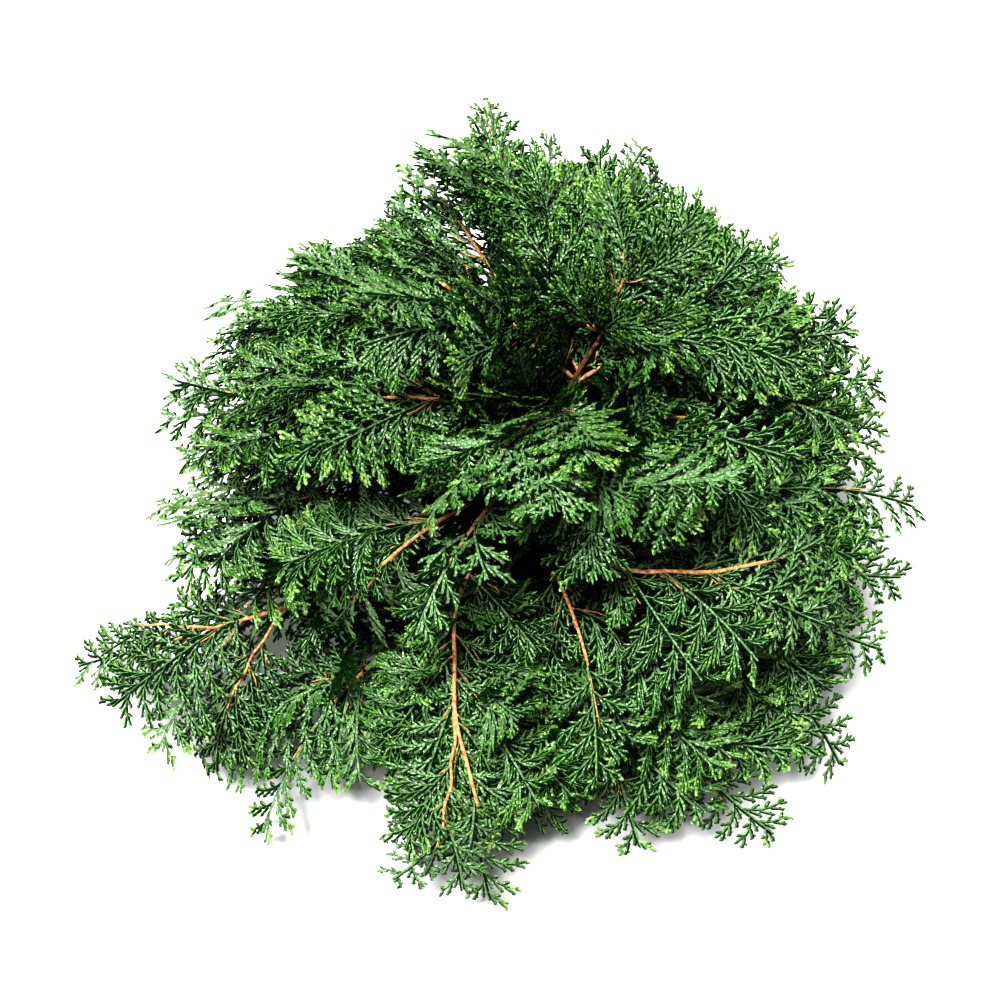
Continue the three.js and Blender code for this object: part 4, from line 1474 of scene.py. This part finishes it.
def zone_of(mass):
    """The piece that a mass is joined into, and a slot name, which nothing uses."""
    spec = mass.path.spec
    if mass.name in DEEP:
        return "deep", "foliage_deep"
    if not mass.on_bough:
        return ("crown" if spec.tip > CROWN_ABOVE else "upper"), "foliage_bright"
    return next(zone for limit, zone in ZONES if spec.azimuth <= limit), "foliage_mid"


class HINOKI_OT_stage(Operator):
    """Makes the floor, the soft lights and the camera."""

    bl_idname = "hinoki.stage"
    bl_label = "Stage"

    def execute(self, context):
        scene, stage = context.scene, context.scene.hinoki_stage
        bpy.ops.mesh.primitive_plane_add(size=FLOOR_SIZE, location=(0, 0, 0))
        floor = context.object
        floor.name = "floor"
        material = bpy.data.materials.new("Pale floor")
        material.use_nodes = True
        tree = material.node_tree
        set_inputs(tree, tree.nodes["Principled BSDF"], {
            "Base Color": (*FLOOR_GREY, 1), "Roughness": FLOOR_ROUGHNESS})
        floor.data.materials.append(material)
        light_around(scene, stage.fill_strength)
        x, y, z = SIDE_FROM
        add_sun(scene, "Overhead", stage.key_strength, stage.key_spread, OVERHEAD_FROM)
        add_sun(scene, "Left side", stage.side_strength, SIDE_SPREAD, (-x, y, z))
        add_sun(scene, "Right side", stage.side_strength, SIDE_SPREAD, (x, y, z))
        back = Vector((0, -math.cos(stage.elevation), math.sin(stage.elevation)))
        camera = bpy.data.objects.new("Camera", bpy.data.cameras.new("Camera"))
        camera.data.lens = stage.lens
        place_at(scene, camera, CROWN_MIDDLE + back * stage.distance, CROWN_MIDDLE)
        scene.camera = camera
        scene.view_settings.view_transform = "Standard"
        scene.view_settings.look = "High Contrast"
        scene.view_settings.gamma = GAMMA
        return {"FINISHED"}


def light_around(scene, strength):
    """Even light from all round, behind which the camera sees a pale wall."""
    world = bpy.data.worlds.new("Even light")
    scene.world = world
    world.use_nodes = True
    tree = world.node_tree
    fill = tree.nodes["Background"]
    set_inputs(tree, fill, {"Color": (1, 1, 1, 1), "Strength": strength})
    wall = add_node(tree, "ShaderNodeBackground", {"Color": (*WALL_GREY, 1)})
    rays = tree.nodes.new("ShaderNodeLightPath").outputs["Is Camera Ray"]
    either = add_node(tree, "ShaderNodeMixShader", {
        "Fac": rays, 1: fill.outputs["Background"], 2: wall.outputs["Background"]})
    set_inputs(tree, tree.nodes["World Output"], {"Surface": either.outputs["Shader"]})


def add_sun(scene, name, strength, spread, place):
    sun = bpy.data.lights.new(name, "SUN")
    sun.energy = strength
    sun.angle = spread
    place_at(scene, bpy.data.objects.new(name, sun), Vector(place), LIGHTS_TO)


def place_at(scene, thing, place, target):
    """Sets a light or camera in the scene, aimed at its target."""
    thing.location = place
    thing.rotation_euler = (target - place).to_track_quat("-Z", "Y").to_euler()
    scene.collection.objects.link(thing)


class HINOKI_PT_panel(Panel):
    """Lists the pieces that the plant is made of."""

    bl_idname = "HINOKI_PT_panel"
    bl_label = "Dwarf Hinoki Cypress"
    bl_space_type = "VIEW_3D"
    bl_region_type = "UI"
    bl_category = "Hinoki"

    def draw(self, context):
        for operator in OPERATORS:
            self.layout.operator(operator.bl_idname)


SETTINGS = {
    "hinoki_bark": HinokiBarkSettings, "hinoki_leaf": HinokiLeafSettings,
    "hinoki_stage": HinokiStageSettings,
}
OPERATORS = (HINOKI_OT_trunk, HINOKI_OT_limbs, HINOKI_OT_foliage, HINOKI_OT_stage)
CLASSES = (*SETTINGS.values(), *OPERATORS, HINOKI_PT_panel)


@cache
def plant():
    """The masses with their sprigs, worked out once."""
    return set_sprigs(make_masses())


def register():
    for kind in CLASSES:
        bpy.utils.register_class(kind)
    for name, kind in SETTINGS.items():
        setattr(bpy.types.Scene, name, PointerProperty(type=kind))


def unregister():
    for name in SETTINGS:
        delattr(bpy.types.Scene, name)
    for kind in reversed(CLASSES):
        bpy.utils.unregister_class(kind)


def main():
    register()
    bpy.ops.hinoki.trunk()
    bpy.ops.hinoki.limbs()
    bpy.ops.hinoki.foliage()
    bpy.ops.hinoki.stage()
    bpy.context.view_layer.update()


if __name__ == "__main__":
    main()
